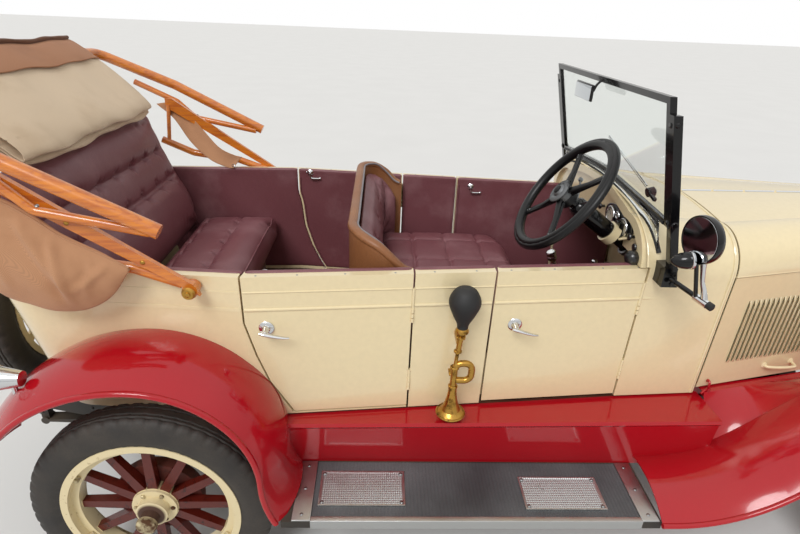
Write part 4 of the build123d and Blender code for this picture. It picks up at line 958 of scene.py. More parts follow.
def snake(a, b, bends):
    # A crease from a to b that wavers a little: a sine across the straight line.
    a, b = asarray(a, float), asarray(b, float)
    t = linspace(0, 1, 40)[:, None]
    across = array([-(b - a)[1], (b - a)[0]]) / norm(b - a)
    return a + (b - a) * t + across * sin(t * pi * bends) * 3.0


def fromAbove(points):
    return toCar(points)[:, :2]


def fromFront(points):
    return toCar(points)[:, 1:]


def upholster(obj, name, starts, way, radius=8.0, stands=()):
    # Covered buttons where rays meet the piece; the CAD parts named in stands are hidden.
    out = -unit(asarray(way, float))
    addPiece(name, [domeScrew(p, out, radius, 4, 4) for p in surfaceAt(obj, starts, way)], maroon)
    if stands:
        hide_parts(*stands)


seats = {
    "rearCushion": {"x": (-150, 203), "z": (806, 928), "half": 512, "round": 34, "across": (-114, 40),
        "along": (), "seamX": 188, "buttons": (-430, -306, -184, -62, 60, 182, 304, 428)},
    "rearBack": {"foot": (-206, 862), "head": (-378, 1404), "half": 504, "deep": 74,
        "rows": (1150, 1262), "low": (-161, -9, 127, 276, 400, -400, -276),
        "high": (-392, -254, -116, 23, 160, 290, 417)},
    "frontCushion": {"x": (722, 1296), "z": (800, 902), "half": 430, "round": 32,
        "across": (865, 1018, 1173), "along": (-322, -108, 108, 322)},
}


def cushion(name, shape, s, inside, lines, spots, **press):
    # A bench: a block that shape crowns, swelled with its foot and its creases held, then
    # creased and buttoned from above. shape gets the block's points, their places in the car
    # and their share of the way forwards.
    (x0, x1), (z0, z1) = s["x"], s["z"]
    centre = array([(x0 + x1) / 2, 0, (z0 + z1) / 2])

    def warp(p):
        return shape(p, p + centre, (p[..., 0] + centre[0] - x0) / (x1 - x0))

    size = (x1 - x0, 2 * s["half"], z1 - z0)
    obj = addPiece(name, blockGrids(size, (9.5, 9.5, 13), s["round"], warp), maroon, crease=180)
    x, y, z = toCar(vertices(obj.data)).T
    crease = np.min([abs(x - at) for at in s["across"]] + [abs(y - at) for at in s["along"]], 0) < 5
    swell(obj, (z < z0 + 20) | (crease & (z > z1 - 15) & inside(x, y)), 0.026)
    takeMesh(obj)
    tuft(obj, fromAbove, lambda p, way: clip(way[:, 2] * 2 - 0.5, 0, 1), lines, spots, **press)
    return obj


def rearShape(p, at, share):
    # The rear cushion grows wider to the front, as the walls part, and its top is crowned.
    half = seats["rearCushion"]["half"]
    top = (p[..., 2] > 0) * 10 * cos(p[..., 1] / half * 1.3) * sin(pi * clip(share, 0, 1)) ** 0.7
    front = (share > 0.5) * 8 * clip((p[..., 2] + 30) / 90, 0, 1)
    return xyz(at[..., 0] + front, at[..., 1] * (1 + 0.034 * share), at[..., 2] + top)


def frontShape(p, at, share):
    # A bench with its front corners cut back round, and a soft crown.
    half = seats["frontCushion"]["half"]
    corner = clip((abs(at[..., 1]) - half * 0.62) / (half * 0.38), 0, 1)
    back = 62 * corner ** 2 * clip((share - 0.5) / 0.5, 0, 1)
    top = (p[..., 2] > 0) * 9 * sin(pi * clip(share, 0, 1)) ** 0.7
    return xyz(at[..., 0] - back, at[..., 1], at[..., 2] + top)


s = seats["rearCushion"]
edge = s["half"] * 0.97
spots = [(x, y) for x in s["across"] for y in s["buttons"]]
rearPad = cushion("rearSeatCushion", rearShape, s, lambda x, y: abs(y) < 480,
    [snake((x, -edge), (x, edge), 16) for x in s["across"]], spots)
upholster(rearPad, "rearCushionButtons", [(x, y, 1100) for x, y in spots], (0, 0, -1),
    stands=["rear_seat_upholstery"])
y = linspace(-494, 494, 120)
seam = surfaceAt(rearPad, xyz(s["seamX"], y, 1100), (0, 0, -1))
seam[:, 2] += 1.6
for _ in range(3):
    seam[1:-1] = (seam[:-2] + 2 * seam[1:-1] + seam[2:]) / 4
addPiece("rearCushionPiping", [tube(seam, 3.2, 8, up=(0.1, 0.2, 1))], maroon)


def rearBack():
    # A block on the slope from foot to head, swelled, then creased and buttoned.
    s = seats["rearBack"]
    foot, head = array(s["foot"], float), array(s["head"], float)
    length = norm(head - foot)
    rise = (head - foot) / length
    front = array([rise[1], -rise[0]])
    ahead = array([front[0], 0, front[1]])

    def warp(p):
        # Local Z runs up the back's slope and local X forwards: the front swells low down, and
        # the middle of the top edge stands a little higher than its corners.
        t = clip(p[..., 2] / length + 0.5, 0, 1)
        u = p[..., 0] + (p[..., 0] > 0) * (6 + 26 * exp(-((t - 0.26) / 0.24) ** 2))
        up = p[..., 2] + (t > 0.8) * (t - 0.8) * 5 * 8 * (1 - (p[..., 1] / s["half"]) ** 2)
        x, z = [foot[k] + rise[k] * (up + length / 2) + front[k] * u for k in (0, 1)]
        return xyz(x, p[..., 1], z)

    size = (s["deep"], 2 * s["half"], length)
    obj = addPiece("rearSeatBack", blockGrids(size, (13, 9.5, 9.5), 26, warp), maroon, crease=180)
    height = fromFront(vertices(obj.data))[:, 1]
    facing = vertices(obj.data, "normal") @ ahead
    rows = (np.min([abs(height - z) for z in s["rows"]], 0) < 5) & (facing > 0.6)
    swell(obj, (facing < -0.3) | rows, 0.024)
    takeMesh(obj)
    edge = s["half"] * 0.97
    lines = [snake((-edge, z), (edge, z), 2) for z in s["rows"]]
    spots = [(y, z) for z, spread in zip(s["rows"], (s["low"], s["high"])) for y in spread]
    tuft(obj, fromFront, lambda p, way: clip(way @ ahead * 2 - 0.6, 0, 1), lines, spots,
        depth=(6.0, 14.0), wide=(5.0, 19.0))
    starts = [(foot[0] + (head - foot)[0] * (z - foot[1]) / (head - foot)[1] + 160, y, z + 25)
        for y, z in spots]
    upholster(obj, "rearBackButtons", starts, (-1.0, 0, -0.12))


rearBack()
print("stage: rear seat")
s = seats["frontCushion"]
x0, x1 = s["x"]
spots = [(x, y) for x in s["across"] for y in s["along"]]
creases = [snake((x, -415), (x, 415), 9) for x in s["across"]]
creases += [snake((x0 + 20, y), (x1 - 26, y), 8) for y in s["along"]]
frontPad = cushion("frontSeatCushion", frontShape, s, lambda x, y: (abs(y) < 400) & (x > x0 + 40)
    & (x < x1 - 50), creases, spots, depth=(6.0, 10.0), wide=(4.5, 14.0))
upholster(frontPad, "frontCushionButtons", [(x, y, 1100) for x, y in spots], (0, 0, -1), 7.0,
    stands=["front_seat_upholstery"])


def shellPlan(offset):
    # Plan of the front seat's back from its right wing round to its left one, moved in from
    # the shell's outside by the offset: two arcs with a straight run between them.
    o = offset
    corner = arcThrough((762, -488 + o, 0), (650 + 0.6 * o, -445 + 0.75 * o, 0), (610 + o, -335, 0), 10)
    wing = linspace([812, -488 + o, 0], [762, -488 + o, 0], 5)[:-1]
    middle = linspace([610 + o, -335, 0], [610 + o, 335, 0], 30)[1:-1]
    half = vstack([wing, corner])
    return vstack([half, middle, half[::-1] * [1, -1, 1]])


def shellTop(x, y):
    # Height of the shell's edge: level behind, falling along the wings and at the shoulders.
    fall = interp(x, [650, 690, 715, 750, 780, 812], [1235, 1226, 1211, 1173, 1142, 1129])
    shoulder = interp(abs(y), [398, 440, 463, 488], [1236, 1228, 1217, 1180])
    return minimum(fall, shoulder)


def shellLine(offset, lift):
    # Round the shell's edge, moved in by the offset and up by the lift.
    line = shellPlan(offset)
    line[:, 2] = shellTop(line[:, 0], line[:, 1]) + lift
    return curve(line[::2], 4)


def frontBack():
    # The back cushion wraps round inside the shell: its plan follows the shell, and its
    # section is an upright pad whose top is round and dips towards the wings.
    path = shellPlan(31)
    inner = path[(path[:, 0] < 792)]
    run = concatenate([[0], np.cumsum(norm(np.diff(inner, axis=0), axis=1))])
    total, low, high = run[-1], 884.0, 356

    def planAt(s):
        return stack([interp(s, run, inner[:, k]) for k in range(2)], -1)

    def warp(p):
        # Local Y runs along the plan, local X out from the shell, local Z up.
        s = clip(p[..., 1] / (total - 30) + 0.5, 0, 1) * total
        ahead = unit(planAt(s + 4.0) - planAt(s - 4.0))
        inward = stack([ahead[..., 1], -ahead[..., 0]], -1)
        taper = clip(minimum(s, total - s) / 150, 0, 1) ** 0.5
        share = clip((p[..., 2] + high / 2) / high, 0, 1)
        deep = (p[..., 0] + 30) * (0.45 + 0.55 * taper)
        deep = deep * (1 + 0.12 * exp(-((share - 0.35) / 0.3) ** 2))
        at = planAt(s) + inward * deep[..., None]
        top = shellTop(at[..., 0], at[..., 1]) - 32
        z = low + (top - low) * share - 26 * (1 - taper) * share
        return concatenate([at, z[..., None]], -1)

    obj = addPiece("frontSeatBack", blockGrids((60, total - 30, high), (12, 9.5, 9.5), 25, warp),
        maroon, crease=180)
    height = fromFront(vertices(obj.data))[:, 1]
    swell(obj, (vertices(obj.data, "normal")[:, 0] < -0.4) | (height < 895), 0.02)
    takeMesh(obj)
    lines = [snake((y, 900), (y, 1150), 4) for y in (-225, 0, 225)]
    spots = [(y, z) for y in (-225, 0, 225) for z in (970, 1045, 1120)]
    tuft(obj, fromFront, lambda p, way: clip(way[:, 0] * 2.2 - 0.6, 0, 1), lines, spots,
        depth=(6.0, 10.0), wide=(4.5, 15.0))
    upholster(obj, "frontBackButtons", [(860, y, z) for y, z in spots], (-1, 0, 0), 7.0)


frontBack()
greyPiping = leatherFinish("greyPiping", "8b8488", "a39da0", wear=0.4, pebble=900.0)
shellRoll = addPiece("frontShellRoll", [strand(shellLine(12.5, -3), ring(1.0, 14) * [17, 14])], tan)
addPiece("frontShellPiping", [tube(shellLine(29, 1), 4.2, 8)], greyPiping)
print("stage: front seat")


# Running boards: mat, edging and blank knurled step plates
board = {"top": 414, "inner": 566, "outer": 816, "mat": (512, 1576, 572, 800),
    "plates": ((529, 814, 617, 762), (1206, 1478, 639, 775)), "edges": ((453, 512), (1576, 1632))}
matRubber = paintFinish("ribbedMatRubber", "26272a", gloss=0.5, dust=1.1, coat=0.0, mottle=0.1,
    dustColor="6f7072")


def slab(x0, x1, y0, y1, z0, z1):
    # Flat strip with its upper edges rounded off by a quarter circle.
    t = linspace(0, pi / 2, 4)
    z = concatenate([[z0], z1 - 2 + 2 * sin(t)])
    back = concatenate([[0], 2 - 2 * cos(t)])
    rings = []
    for level, inset in zip(z, back):
        rings.append([[x0 + inset, y0 + inset, level], [x1 - inset, y0 + inset, level],
            [x1 - inset, y1 - inset, level], [x0 + inset, y1 - inset, level]])
    return grid(capped(array(rings)), closeV=True)


def ribbedMat(x0, x1, y0, y1, z):
    # Rubber with low ribs across the step: height is a rounded square wave of X, and the
    # edges drop to the board.
    x = arange(x0, x1 + 0.1, 3.0)
    y = array([y0, y0 + 1, y0 + 12, *linspace(y0 + 30, y1 - 30, 6), y1 - 12, y1 - 1, y1])
    gx, gy = meshgrid(x, y, indexing="ij")
    ribs = clip(sin((gx - x0) * 2 * pi / 12) * 2.2, -1, 1) * 0.8
    rim = clip(minimum(minimum(gy - y0, y1 - gy), minimum(gx - x0, x1 - gx)), 0, 1)
    height = (3.2 + ribs) * rim
    return grid(xyz(gx, gy, z + height))


def knurledPlate(x0, x1, y0, y1, z):
    # Cast plate: a smooth raised rim round rows of small four-sided points.
    x, y = [array([a, a + 0.8, a + 4, a + 6, *arange(a + 9, b - 8, 3.6), b - 6, b - 4, b - 0.8, b])
        for a, b in ((x0, x1), (y0, y1))]
    gx, gy = meshgrid(x, y, indexing="ij")
    even, other = arange(len(x))[:, None] % 2, arange(len(y)) % 2
    edge = minimum(minimum(gx - x0, x1 - gx), minimum(gy - y0, y1 - gy))
    height = where(edge > 8, 3.6 + 2.4 * even * other, where(edge > 3, 6.2, where(edge > 0.5, 5.6, 0)))
    return grid(xyz(gx, gy, z + height))


top = board["top"]
x0, x1, y0, y1 = board["mat"]
addPiece("runningBoardMats", bothSides([ribbedMat(x0, x1, -y1, -y0, top)]), matRubber, crease=50)
strips, plates, screws = [], [], []
for a, b in board["edges"]:
    strips.append(slab(a, b, -board["outer"] + 1, -board["inner"] - 3, top - 1, top + 5))
    for y in (-board["inner"] - 26, -690, -board["outer"] + 24):
        screws.append(domeScrew(((a + b) / 2, y, top + 5), (0, 0, 1), 6, 3))
strips.append(slab(512, 1576, -board["outer"] - 3, -800, top - 28, top + 6))
for a, b, c, d in board["plates"]:
    plates.append(knurledPlate(a, b, -d, -c, top + 3))
    for x in (a + 13, b - 13):
        for y in (-d + 13, -c - 13):
            screws.append(domeScrew((x, y, top + 8.5), (0, 0, 1), 6.5, 3.2))
edging = addPiece("runningBoardEdging", bothSides(strips), aluminium)
addPiece("stepPlates", bothSides(plates), aluminium, crease=30)
addPiece("runningBoardScrews", bothSides(screws), steel)
apron = {"front": 466.6, "ridge": 622, "top": 634, "foot": (565.5, 415.2), "sheet": 3.5,
    "turns": ((748, 377), (31, 340)), "turnHeight": 573, "lap": 43}


def apronEnd():
    # The apron's section carried back to the rear fender. The fender's side line is part of a
    # circle below turnHeight, x = X - sqrt(R * R - d * d), and of another one above it.
    ridge, high = apron["ridge"], apron["top"]
    foot, low = apron["foot"]
    inner = sideHalf(apron["front"], high) - 4
    line = array([[inner, high - 5.5], [(inner + ridge) / 2, high - 2.5], [ridge, high], [ridge + 4,
        high - 12], [ridge - 6, high - 26], *linspace([ridge - 6, high - 26], [foot, low], 12)[1:]])
    loop = concatenate([line, (line - (apron["sheet"], 1.5))[::-1]])
    drop = loop[:, 1] - apron["turnHeight"]
    (xa, ra), (xb, rb) = apron["turns"]
    back = where(drop < 0, xa - np.sqrt(ra ** 2 - drop ** 2), xb + np.sqrt(rb ** 2 - drop ** 2))
    rows = [xyz(apron["front"] + (back + apron["lap"] - apron["front"]) * t, -loop[:, 0], loop[:, 1])
        for t in linspace(0, 1, 7)]
    return grid(array(rows), closeV=True)


addPiece("apronEnds", bothSides([apronEnd()]), red, crease=35)
print("stage: running boards")

# Trim inside the body
trim = {"roll": 9.0, "deep": 5.0, "low": 652, "top": 1157,
    "arch": ((646, 444), (700, 410), (775, 375), (880, 342), (1000, 329), (1046, 315), (1160, 313))}


def innerFace(x, z):
    # Half width of the wall's inner face.
    return sideHalf(x, z) - car["wall"]


def archX(z):
    # X of the wheel arch's line at a height, straight between its points.
    return interp(z, [p[0] for p in trim["arch"]], [p[1] for p in trim["arch"]])


def trimPanel(rear, front, low, over):
    # Padded leathercloth on the right-hand wall between two edges that are functions of Z:
    # it stands off the wall by deep * (1 - exp(-e / 6)), e being the way to the nearest edge,
    # and its top rolls out over the wall as part of a circle.
    z = concatenate(
        [[low, low + 0.5, low + 3, low + 7, low + 14], linspace(low + 30, trim["top"] - 14, 18)])
    s = concatenate(
        [[0, 0.002, 0.008, 0.02, 0.04], linspace(0.08, 0.92, 22), [0.96, 0.98, 0.992, 0.998, 1]])
    wide = (front(z) - rear(z))[:, None]
    x = rear(z)[:, None] + wide * s[None, :]
    z = z[:, None]
    e = minimum(minimum(s * wide, (1 - s) * wide), z - low)
    off = trim["deep"] * (1 - exp(-e / 6)) + 0.2
    off = off + 1.2 * sin(x / 61 + z / 47) * clip(e / 40, 0, 1)
    face = xyz(x, -(innerFace(x, z) - off), z)
    if not over:
        return grid(face[::-1])
    a = linspace(0, 0.97 * pi, 9)[:, None]
    wide = front(1150.0) - rear(1150.0)
    xt = rear(1150.0) + wide * s
    edge = minimum(s, 1 - s) * wide
    r = trim["roll"] * (1 - 0.5 * exp(-edge / 5))[None, :]
    inward = -3.0 + (r + 1) * cos(a)
    zt = trim["top"] - 4 + r * sin(a)
    y = -(innerFace(xt, minimum(zt, trim["top"])) - inward)
    roll = xyz(xt, y, zt)
    return grid(concatenate([face, roll])[::-1])


def fixed(value):
    # An edge at one X all the way up.
    return lambda z: 0.0 * asarray(z) + value


panels = (
    ("tubTrim", fixed(-330), lambda z: archX(z) - 4, "car_body"),
    ("rearDoorTrim", lambda z: archX(z) + 4, fixed(811), rearLeaf),
    ("centrePillarTrim", fixed(820), fixed(1072), "car_body"),
    ("frontDoorTrim", fixed(1081), fixed(1564), frontLeaf),
    ("cowlTrim", fixed(1574), fixed(1836), "car_body"),
)
for name, rear, front, holder in panels:
    panel = trimPanel(rear, front, trim["low"], name != "cowlTrim")
    for made in addPair(name, [panel], maroon, holder, crease=60, thick=0.0008):
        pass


def welt(points):
    # Round cord along a smooth line.
    return tube(curve(points, 4), 3.0, 8, up=(0.1, 1, 0.1))


def onTrim(x, z, off=6.5):
    # On the trim of the right-hand wall, off from the wall's inner face.
    return xyz(x, -(innerFace(x, z) - off), z)


def labelOf(holder):
    # The holder's name as a piece's name says it: RearDoorLeaf for rear_door_{}_leaf.
    return holder.format("").replace("_", " ").title().replace(" ", "")


archZ = linspace(662, 1120, 14)
weltParts = {"car_body": [welt(onTrim(archX(archZ) - 9, archZ))],
    rearLeaf: [welt(onTrim(archX(archZ) + 9, archZ))]}
for x, holder in ((806, rearLeaf), (826, "car_body"), (1066, "car_body"), (1087, frontLeaf),
        (1558, frontLeaf)):
    z = linspace(662, 1130, 8)
    weltParts.setdefault(holder, []).append(welt(onTrim(x, z)))
for holder, parts in weltParts.items():
    addPair("trimWelts" + labelOf(holder), parts, maroon, holder)


def doorPull(x, z):
    # Inside handle: a plated rose on the trim, a short stem and an L-shaped lever that points
    # forwards.
    base = onTrim(x, z, 5.0)
    out = array([0, 1.0, 0])
    rose = spin([(0, 0), (0, 15), (2, 15), (5, 11), (7, 6), (14, 6), (14, 0)], base, out, 20)
    path = base + array([[0, 12, 2], [0, 14, -4], [1, 14, -16], [6, 14, -24], [18, 14, -26],
        [40, 13, -26], [46, 12, -25]], float)
    return [rose, tube(curve(path, 3), 4.2, 10, up=(0, 1, 0.2)),
        spin([(-4, 0), (-3, 5), (0, 6), (3, 5), (4, 0)], base + [46, 12, -25], (1, 0, 0), 12)]


for name, x, z in (("rear", 372, 1146), ("front", 1142, 1122)):
    parts = doorPull(x, z)
    if name == "rear":
        parts.append(domeScrew(onTrim(355, 1146, 6), (0, 1, 0), 4, 3))
    addPair(name + "DoorPull", parts, chrome, name + "_door_{}_leaf")


mats = {"under": 608.5, "thick": 4.0, "gap": 12}


def floorCover(x0, x1):
    # Mat between the walls: its edges follow the inner faces, and it undulates a little.
    x = linspace(x0, x1, 40)[:, None]
    s = linspace(-1, 1, 30)[None, :]
    y = s * (innerFace(x, 640) - mats["gap"])
    high = mats["under"] + mats["thick"] + 1.2 * sin(x / 43) * cos(y / 71)
    face = xyz(x, y, high)
    rim = face.copy()
    rim[..., 2] = mats["under"]
    whole = concatenate([rim[:1], face, rim[-1:]])
    return grid(concatenate([whole[:, :1], whole, whole[:, -1:]], 1))


covers = [floorCover(150, 636), floorCover(1246, 1632)]
board1 = bar((143, -460, 700), (143, 460, 700), 5, 178, 2, up=(0, 0, 1))
addPiece("floorMats", covers + [board1], carpet)
toe = array([[[1646, -380, 616], [1646, 380, 616]], [[1838, -372, 786], [1838, 372, 786]]], float)
toe = toe[:, :1] + (toe[:, 1:] - toe[:, :1]) * linspace(0, 1, 12)[None, :, None]
addPiece("toeBoardMat", [grid(toe + [-2, 0, 4])], carpet, thick=0.003)
screws = []
for x in (352, 470, 610, 760, 880, 1010, 1120, 1260, 1420, 1540):
    holder = (rearLeaf if x < 815 else "car_body" if x < 1077 else frontLeaf)
    screws.append((holder, domeScrew((x, -(sideHalf(x, 1157) - 10), 1156.6), (0, 0, 1), 3.6, 1.6)))
for holder in sorted({h for h, part in screws}):
    parts = [part for h, part in screws if h == holder]
    addPair("capRailScrews" + labelOf(holder), parts, steel, holder)
print("stage: trim inside the body")


# Outside handles, latches and the bonnet's own fittings
def doorHandle(x, z, drop):
    # Round rose on the panel and a tapered lever that points forwards and droops.
    y = -float(sideHalf(x, z))
    at, out = array([x, y, z], float), array([0, -1.0, 0.0])
    rose = spin([(0, 0), (0, 23), (2, 23.5), (4.5, 21), (6.5, 13), (12, 9.5), (34, 8.5), (38, 6),
        (38, 0)], at, out, 28)
    path = at + out * array([[34], [36], [37], [36], [33], [29]]) + array([[-14, 0, 3], [0, 0, 0],
        [18, 0, -drop * 0.25], [38, 0, -drop * 0.55], [58, 0, -drop * 0.85], [72, 0, -drop]], float)
    lever = curve(path, 4)
    size = interp(linspace(0, 1, len(lever)), [0, 0.2, 0.6, 1], [6.5, 7.5, 6.0, 3.4])
    profile = ring(1.0, 12) * stack([size * 1.25, size * 0.8], -1)[:, None, :]
    return [rose, strand(lever, profile)]


for name, x, z, drop in (("front", 1156, 961, 22), ("rear", 372, 981, 16)):
    addPair(name + "DoorHandle", doorHandle(x, z, drop), chrome, name + "_door_{}_leaf")


def hingeKnuckles(x):
    # Two three-part butt hinges showing at a door's edge: short upright barrels.
    parts = []
    for z in (740, 1010):
        y = -(float(sideHalf(x, z)) + 2)
        for low in (-24, -7, 10):
            parts.append(spin([(0, 0), (0, 5), (14, 5), (14, 0)], (x, y, z + low), (0, 0, 1), 12))
    return parts


knuckles = hingeKnuckles(818) + hingeKnuckles(1571)
addPiece("doorHingeBarrels", bothSides(knuckles), cream)


def bonnetLatch(x, y, z):
    # Red spring latch on the apron: a foot, a coiled stem and a hooked handle.
    foot = bar((x - 16, y, z), (x + 16, y, z), 22, 5, 2)
    t = linspace(0, 6 * 2 * pi, 90)
    coil = xyz(x + 6.5 * cos(t), y + 6.5 * sin(t), z + 4 + t * 0.72)
    stem = tube([[x, y, z], [x, y, z + 30], [x, y + 2, z + 44]], 3.5, 8, up=(1, 0, 0))
    hook = tube(
        curve([[x, y + 2, z + 42], [x, y + 4, z + 52], [x, y + 14, z + 56], [x, y + 20, z + 48]], 4),
        4.5, 8, up=(1, 0, 0))
    grip = tube(curve([[x - 4, y, z + 26], [x - 20, y - 10, z + 28], [x - 36, y - 18, z + 20]], 3), 4,
        8)
    return [foot, stem, hook, grip, tube(coil, 1.6, 6)]


latches = []
for x in (1925, 2560):
    y = -(float(bonnetHalf(x, 662.0)) + 22)
    latches += bonnetLatch(x, y, 636)
addPiece("bonnetLatches", bothSides(latches), red)
x, z = 2230, 716
loop = array([(-62, 0), (-60, -18), (-48, -27), (0, -29), (48, -23), (60, -12), (62, 10)])
grip = xyz(loop[:, 0] + x, loop[:, 1] - bonnetHalf(x, z), z)
handles = [tube(curve(grip, 5), 6, 10)]
for foot in (x - 62, x + 62):
    handles.append(spin([(0, 0), (0, 13), (3, 12), (5, 8), (5, 0)], (foot, -bonnetHalf(foot, z), z),
        (0, -1, 0), 18))
addPair("bonnetHandle", handles, cream, "bonnet_side_{}_leaf")
spine = []
for k in range(6):
    ends = [1889 + k * 127, 1889 + k * 127 + 118]
    spine.append(tube([[x, 0, 1275 + (x - 1886) / 763 * 10 + 0.5] for x in ends], 4.6, 10))
addPiece("bonnetCentreHinge", spine, chrome)
print("stage: handles and latches")


# Folded hood: one long sheet laid to and fro, the tan strip over its bow, a sling and a flap
hood = {"foot": (-330.0, 1413.0), "rise": 0.7187, "half": 462.0, "thick": 2.2, "pivot": (176, 1128)}


def slopePoint(s, n):
    # Point a way s up the folded hood's slope and n above its underside; the slope rises to
    # the rear at the angle hood["rise"].
    c, k = math.cos(hood["rise"]), math.sin(hood["rise"])
    return stack([hood["foot"][0] - c * s + k * n, hood["foot"][1] + k * s + c * n], -1)


def hoodSheet(line, steps, across, loose):
    # The folded line carried across the car. A height n over the slope grows by a soft wave w
    # of the two ways, n' = n * (1 + loose * w), so that no layer passes through the next one;
    # near the ends the pile droops and its front folds draw in.
    path = curve(line, steps)
    s, n = path[:, :1], path[:, 1:]
    y = hood["half"] * sin(linspace(-1, 1, across) * pi / 2 * 0.999)[None, :]
    ends = (abs(y) / hood["half"]) ** 4
    wave = (0.55 * sin(y / 128 + s / 95 + 0.6) + 0.3 * sin(y / 57 - s / 70 + 2.0)
        + 0.22 * sin(y / 31 + s / 150) + 0.3 * cos(s / 60 + y / 210))
    high = n * (1 + loose * wave - 0.16 * ends)
    along1 = s + 5.0 * sin(y / 83 + n / 25) + 3.0 * sin(y / 37 + n / 9) + 9 * ends * (s < 60)
    flat = slopePoint(along1, high)
    edge = y + 2.5 * sin(s / 44 + n / 7) * sign(y) * ends
    return xyz(flat[..., 0], edge, flat[..., 1])


folds = [(352, -62), (380, -38), (402, -8), (405, 22), (394, 44), (366, 58), (320, 66), (260, 71),
    (190, 74), (120, 76), (60, 76), (22, 73), (-3, 66), (-14, 54), (-8, 43), (10, 39), (50, 43),
    (120, 48), (200, 50), (270, 50), (308, 48), (322, 43), (318, 37), (298, 35), (240, 35), (160, 34),
    (80, 32), (30, 32), (2, 31), (-13, 25), (-17, 15), (-10, 7), (6, 5), (40, 11), (100, 18), (200, 20),
    (290, 20), (312, 17), (314, 10), (300, 6.5), (240, 5.5), (150, 5), (60, 4.5), (24, 2.5)]
pile = hoodSheet(folds, 7, 97, 0.06)
hoodPile = addPiece("foldedHood", [grid(pile)], hoodCloth, crease=60, thick=hood["thick"] / 1000,
    stands=("hood_fabric",))
bowTan = clothFinish("tanBowStrip", "b57d58", "8a5a3c", amount=0.45)
over = [(262, 77), (300, 75), (340, 70), (372, 64), (398, 51), (412, 26), (410, -8), (388, -42),
    (362, -67)]
strip = hoodSheet(over, 6, 97, 0.03)
bowStrip = addPiece("hoodBowStrip", [grid(strip)], bowTan, crease=60, thick=0.0018)
rollLine = hoodSheet([(396, 60), (399, 58)], 1, 61, 0.0)[0]
darkRoll = clothFinish("brownBowRoll", "6d4128", "472814", amount=0.4)
addPiece("hoodBowRoll", [tube(rollLine, 8 + 0.8 * sin(rollLine[:, 1] / 19), 12, up=(1, 0, 0))],
    darkRoll)
weltLine = hoodSheet([(262, 79), (263, 79)], 1, 61, 0.0)[0]
addPiece("hoodBowWelt", [tube(weltLine, 2.6, 8, up=(1, 0, 0))], bowTan)


def lineAt(points, t):
    # Value of a smooth line through points at t from 0 to 1.
    fine = curve(points, 12)
    at = linspace(0, 1, len(fine))
    return stack([interp(t, at, fine[:, k]) for k in range(fine.shape[1])], -1)


def between(a, b, v):
    # Points from line a to line b at the shares v of the way.
    v = v[None, :, None]
    return a[:, None] * (1 - v) + b[:, None] * v


def sling():
    # Side cloth slung over the lower rail outside the body: its outer wall swells by
    # 30 * sin(pi v) ** 0.8, carries its creases exp(-(d / w) ** 2), turns under in a half
    # circle and comes up again on the inside.
    t = linspace(0, 1, 76)
    upper = lineAt([(-452, 1392), (-400, 1408), (-333, 1403), (-259, 1384), (-192, 1340), (-134, 1294),
        (-40, 1246), (27, 1208)], t)
    lower = lineAt([(-446, 1330), (-402, 1200), (-333, 1119), (-266, 1090), (-203, 1071), (-115, 1077),
        (-38, 1119), (26, 1198)], t)
    v = linspace(0, 1, 44)
    face = between(upper, lower, v)
    deep = norm(upper - lower, axis=-1)[:, None]
    x, z = face[..., 0], face[..., 1]
    full = clip(deep / 260, 0, 1)
    out = 652 + 30 * full * sin(pi * v[None, :]) ** 0.8
    for ax, az, bx, bz, high, wide in ((-158, 1300, -140, 1085, 8, 13), (-20, 1222, -128, 1130, 7, 12),
            (-235, 1352, -132, 1120, 7, 15), (-320, 1380, -290, 1130, 6, 18),
            (-60, 1240, -100, 1100, 4, 10), (-380, 1390, -340, 1180, 5, 16)):
        way = array([bx - ax, bz - az], float)
        long1 = norm(way)
        way /= long1
        run = (x - ax) * way[0] + (z - az) * way[1]
        aside = (x - ax) * way[1] - (z - az) * way[0]
        near = clip(run / 30, 0, 1) * clip((long1 - run) / 40, 0, 1)
        out = out + high * near * exp(-(aside / wide) ** 2) - 0.5 * high * near * exp(
            -((aside - 1.6 * wide) / wide) ** 2)
    out = out + 1.5 * sin(x / 17 + z / 29) * sin(pi * v)
    outer = xyz(x, -out, z)
    a = linspace(0, pi, 9)[1:]
    r = (-outer[:, -1:, 1] - 604) / 2 * clip(full, 0.25, 1)
    base = outer[:, -1]
    under = xyz(base[:, :1], base[:, 1:2] + r * (1 - cos(a)), base[:, 2:] - 14 * full * sin(a))
    up = linspace(0, 1, 8)[1:] * 70 * full
    inside = xyz(under[:, -1:, 0], under[:, -1:, 1], under[:, -1:, 2] + up)
    b = linspace(0, pi * 0.8, 7)[::-1]
    lip = xyz(outer[:, :1, 0], outer[:, :1, 1] + 7 * (1 - cos(b)) * full,
        outer[:, :1, 2] + 7 * sin(b) * full)[:, :-1]
    return concatenate([lip, outer, under, inside], 1)


bag = sling()
slingPiece = addPiece("sideClothSling", [grid(bag)], tanCloth, crease=60, thick=0.0016)
slingHem = addPiece("sideClothHem", [tube(bag[:, 6] + [0, -1.5, 0], 2.4, 6)], tanCloth)


def looseFlap():
    # Strip of side cloth that hangs from the far bows and ends in a corner over the body's
    # wall; it curls along its length and twists a little.
    t = linspace(0, 1, 60)
    low = lineAt([(-345, 1428, 640), (-271, 1367, 628), (-190, 1265, 590), (-100, 1195, 553),
        (-20, 1163, 540), (12, 1161, 532)], t)
    high = lineAt([(-262, 1441, 640), (-205, 1388, 634), (-150, 1334, 616), (-64, 1250, 576),
        (20, 1216, 548), (55, 1214, 534)], t)
    v = linspace(0, 1, 22)
    face = between(low, high, v)
    bow = 9 * sin(pi * v[None, :]) * (1 - 0.5 * t[:, None]) + 2.5 * sin(t[:, None] * 21
        + v[None, :] * 3) * (v[None, :] - 0.3)
    return xyz(face[..., 0], face[..., 2] + bow, face[..., 1] + 2)


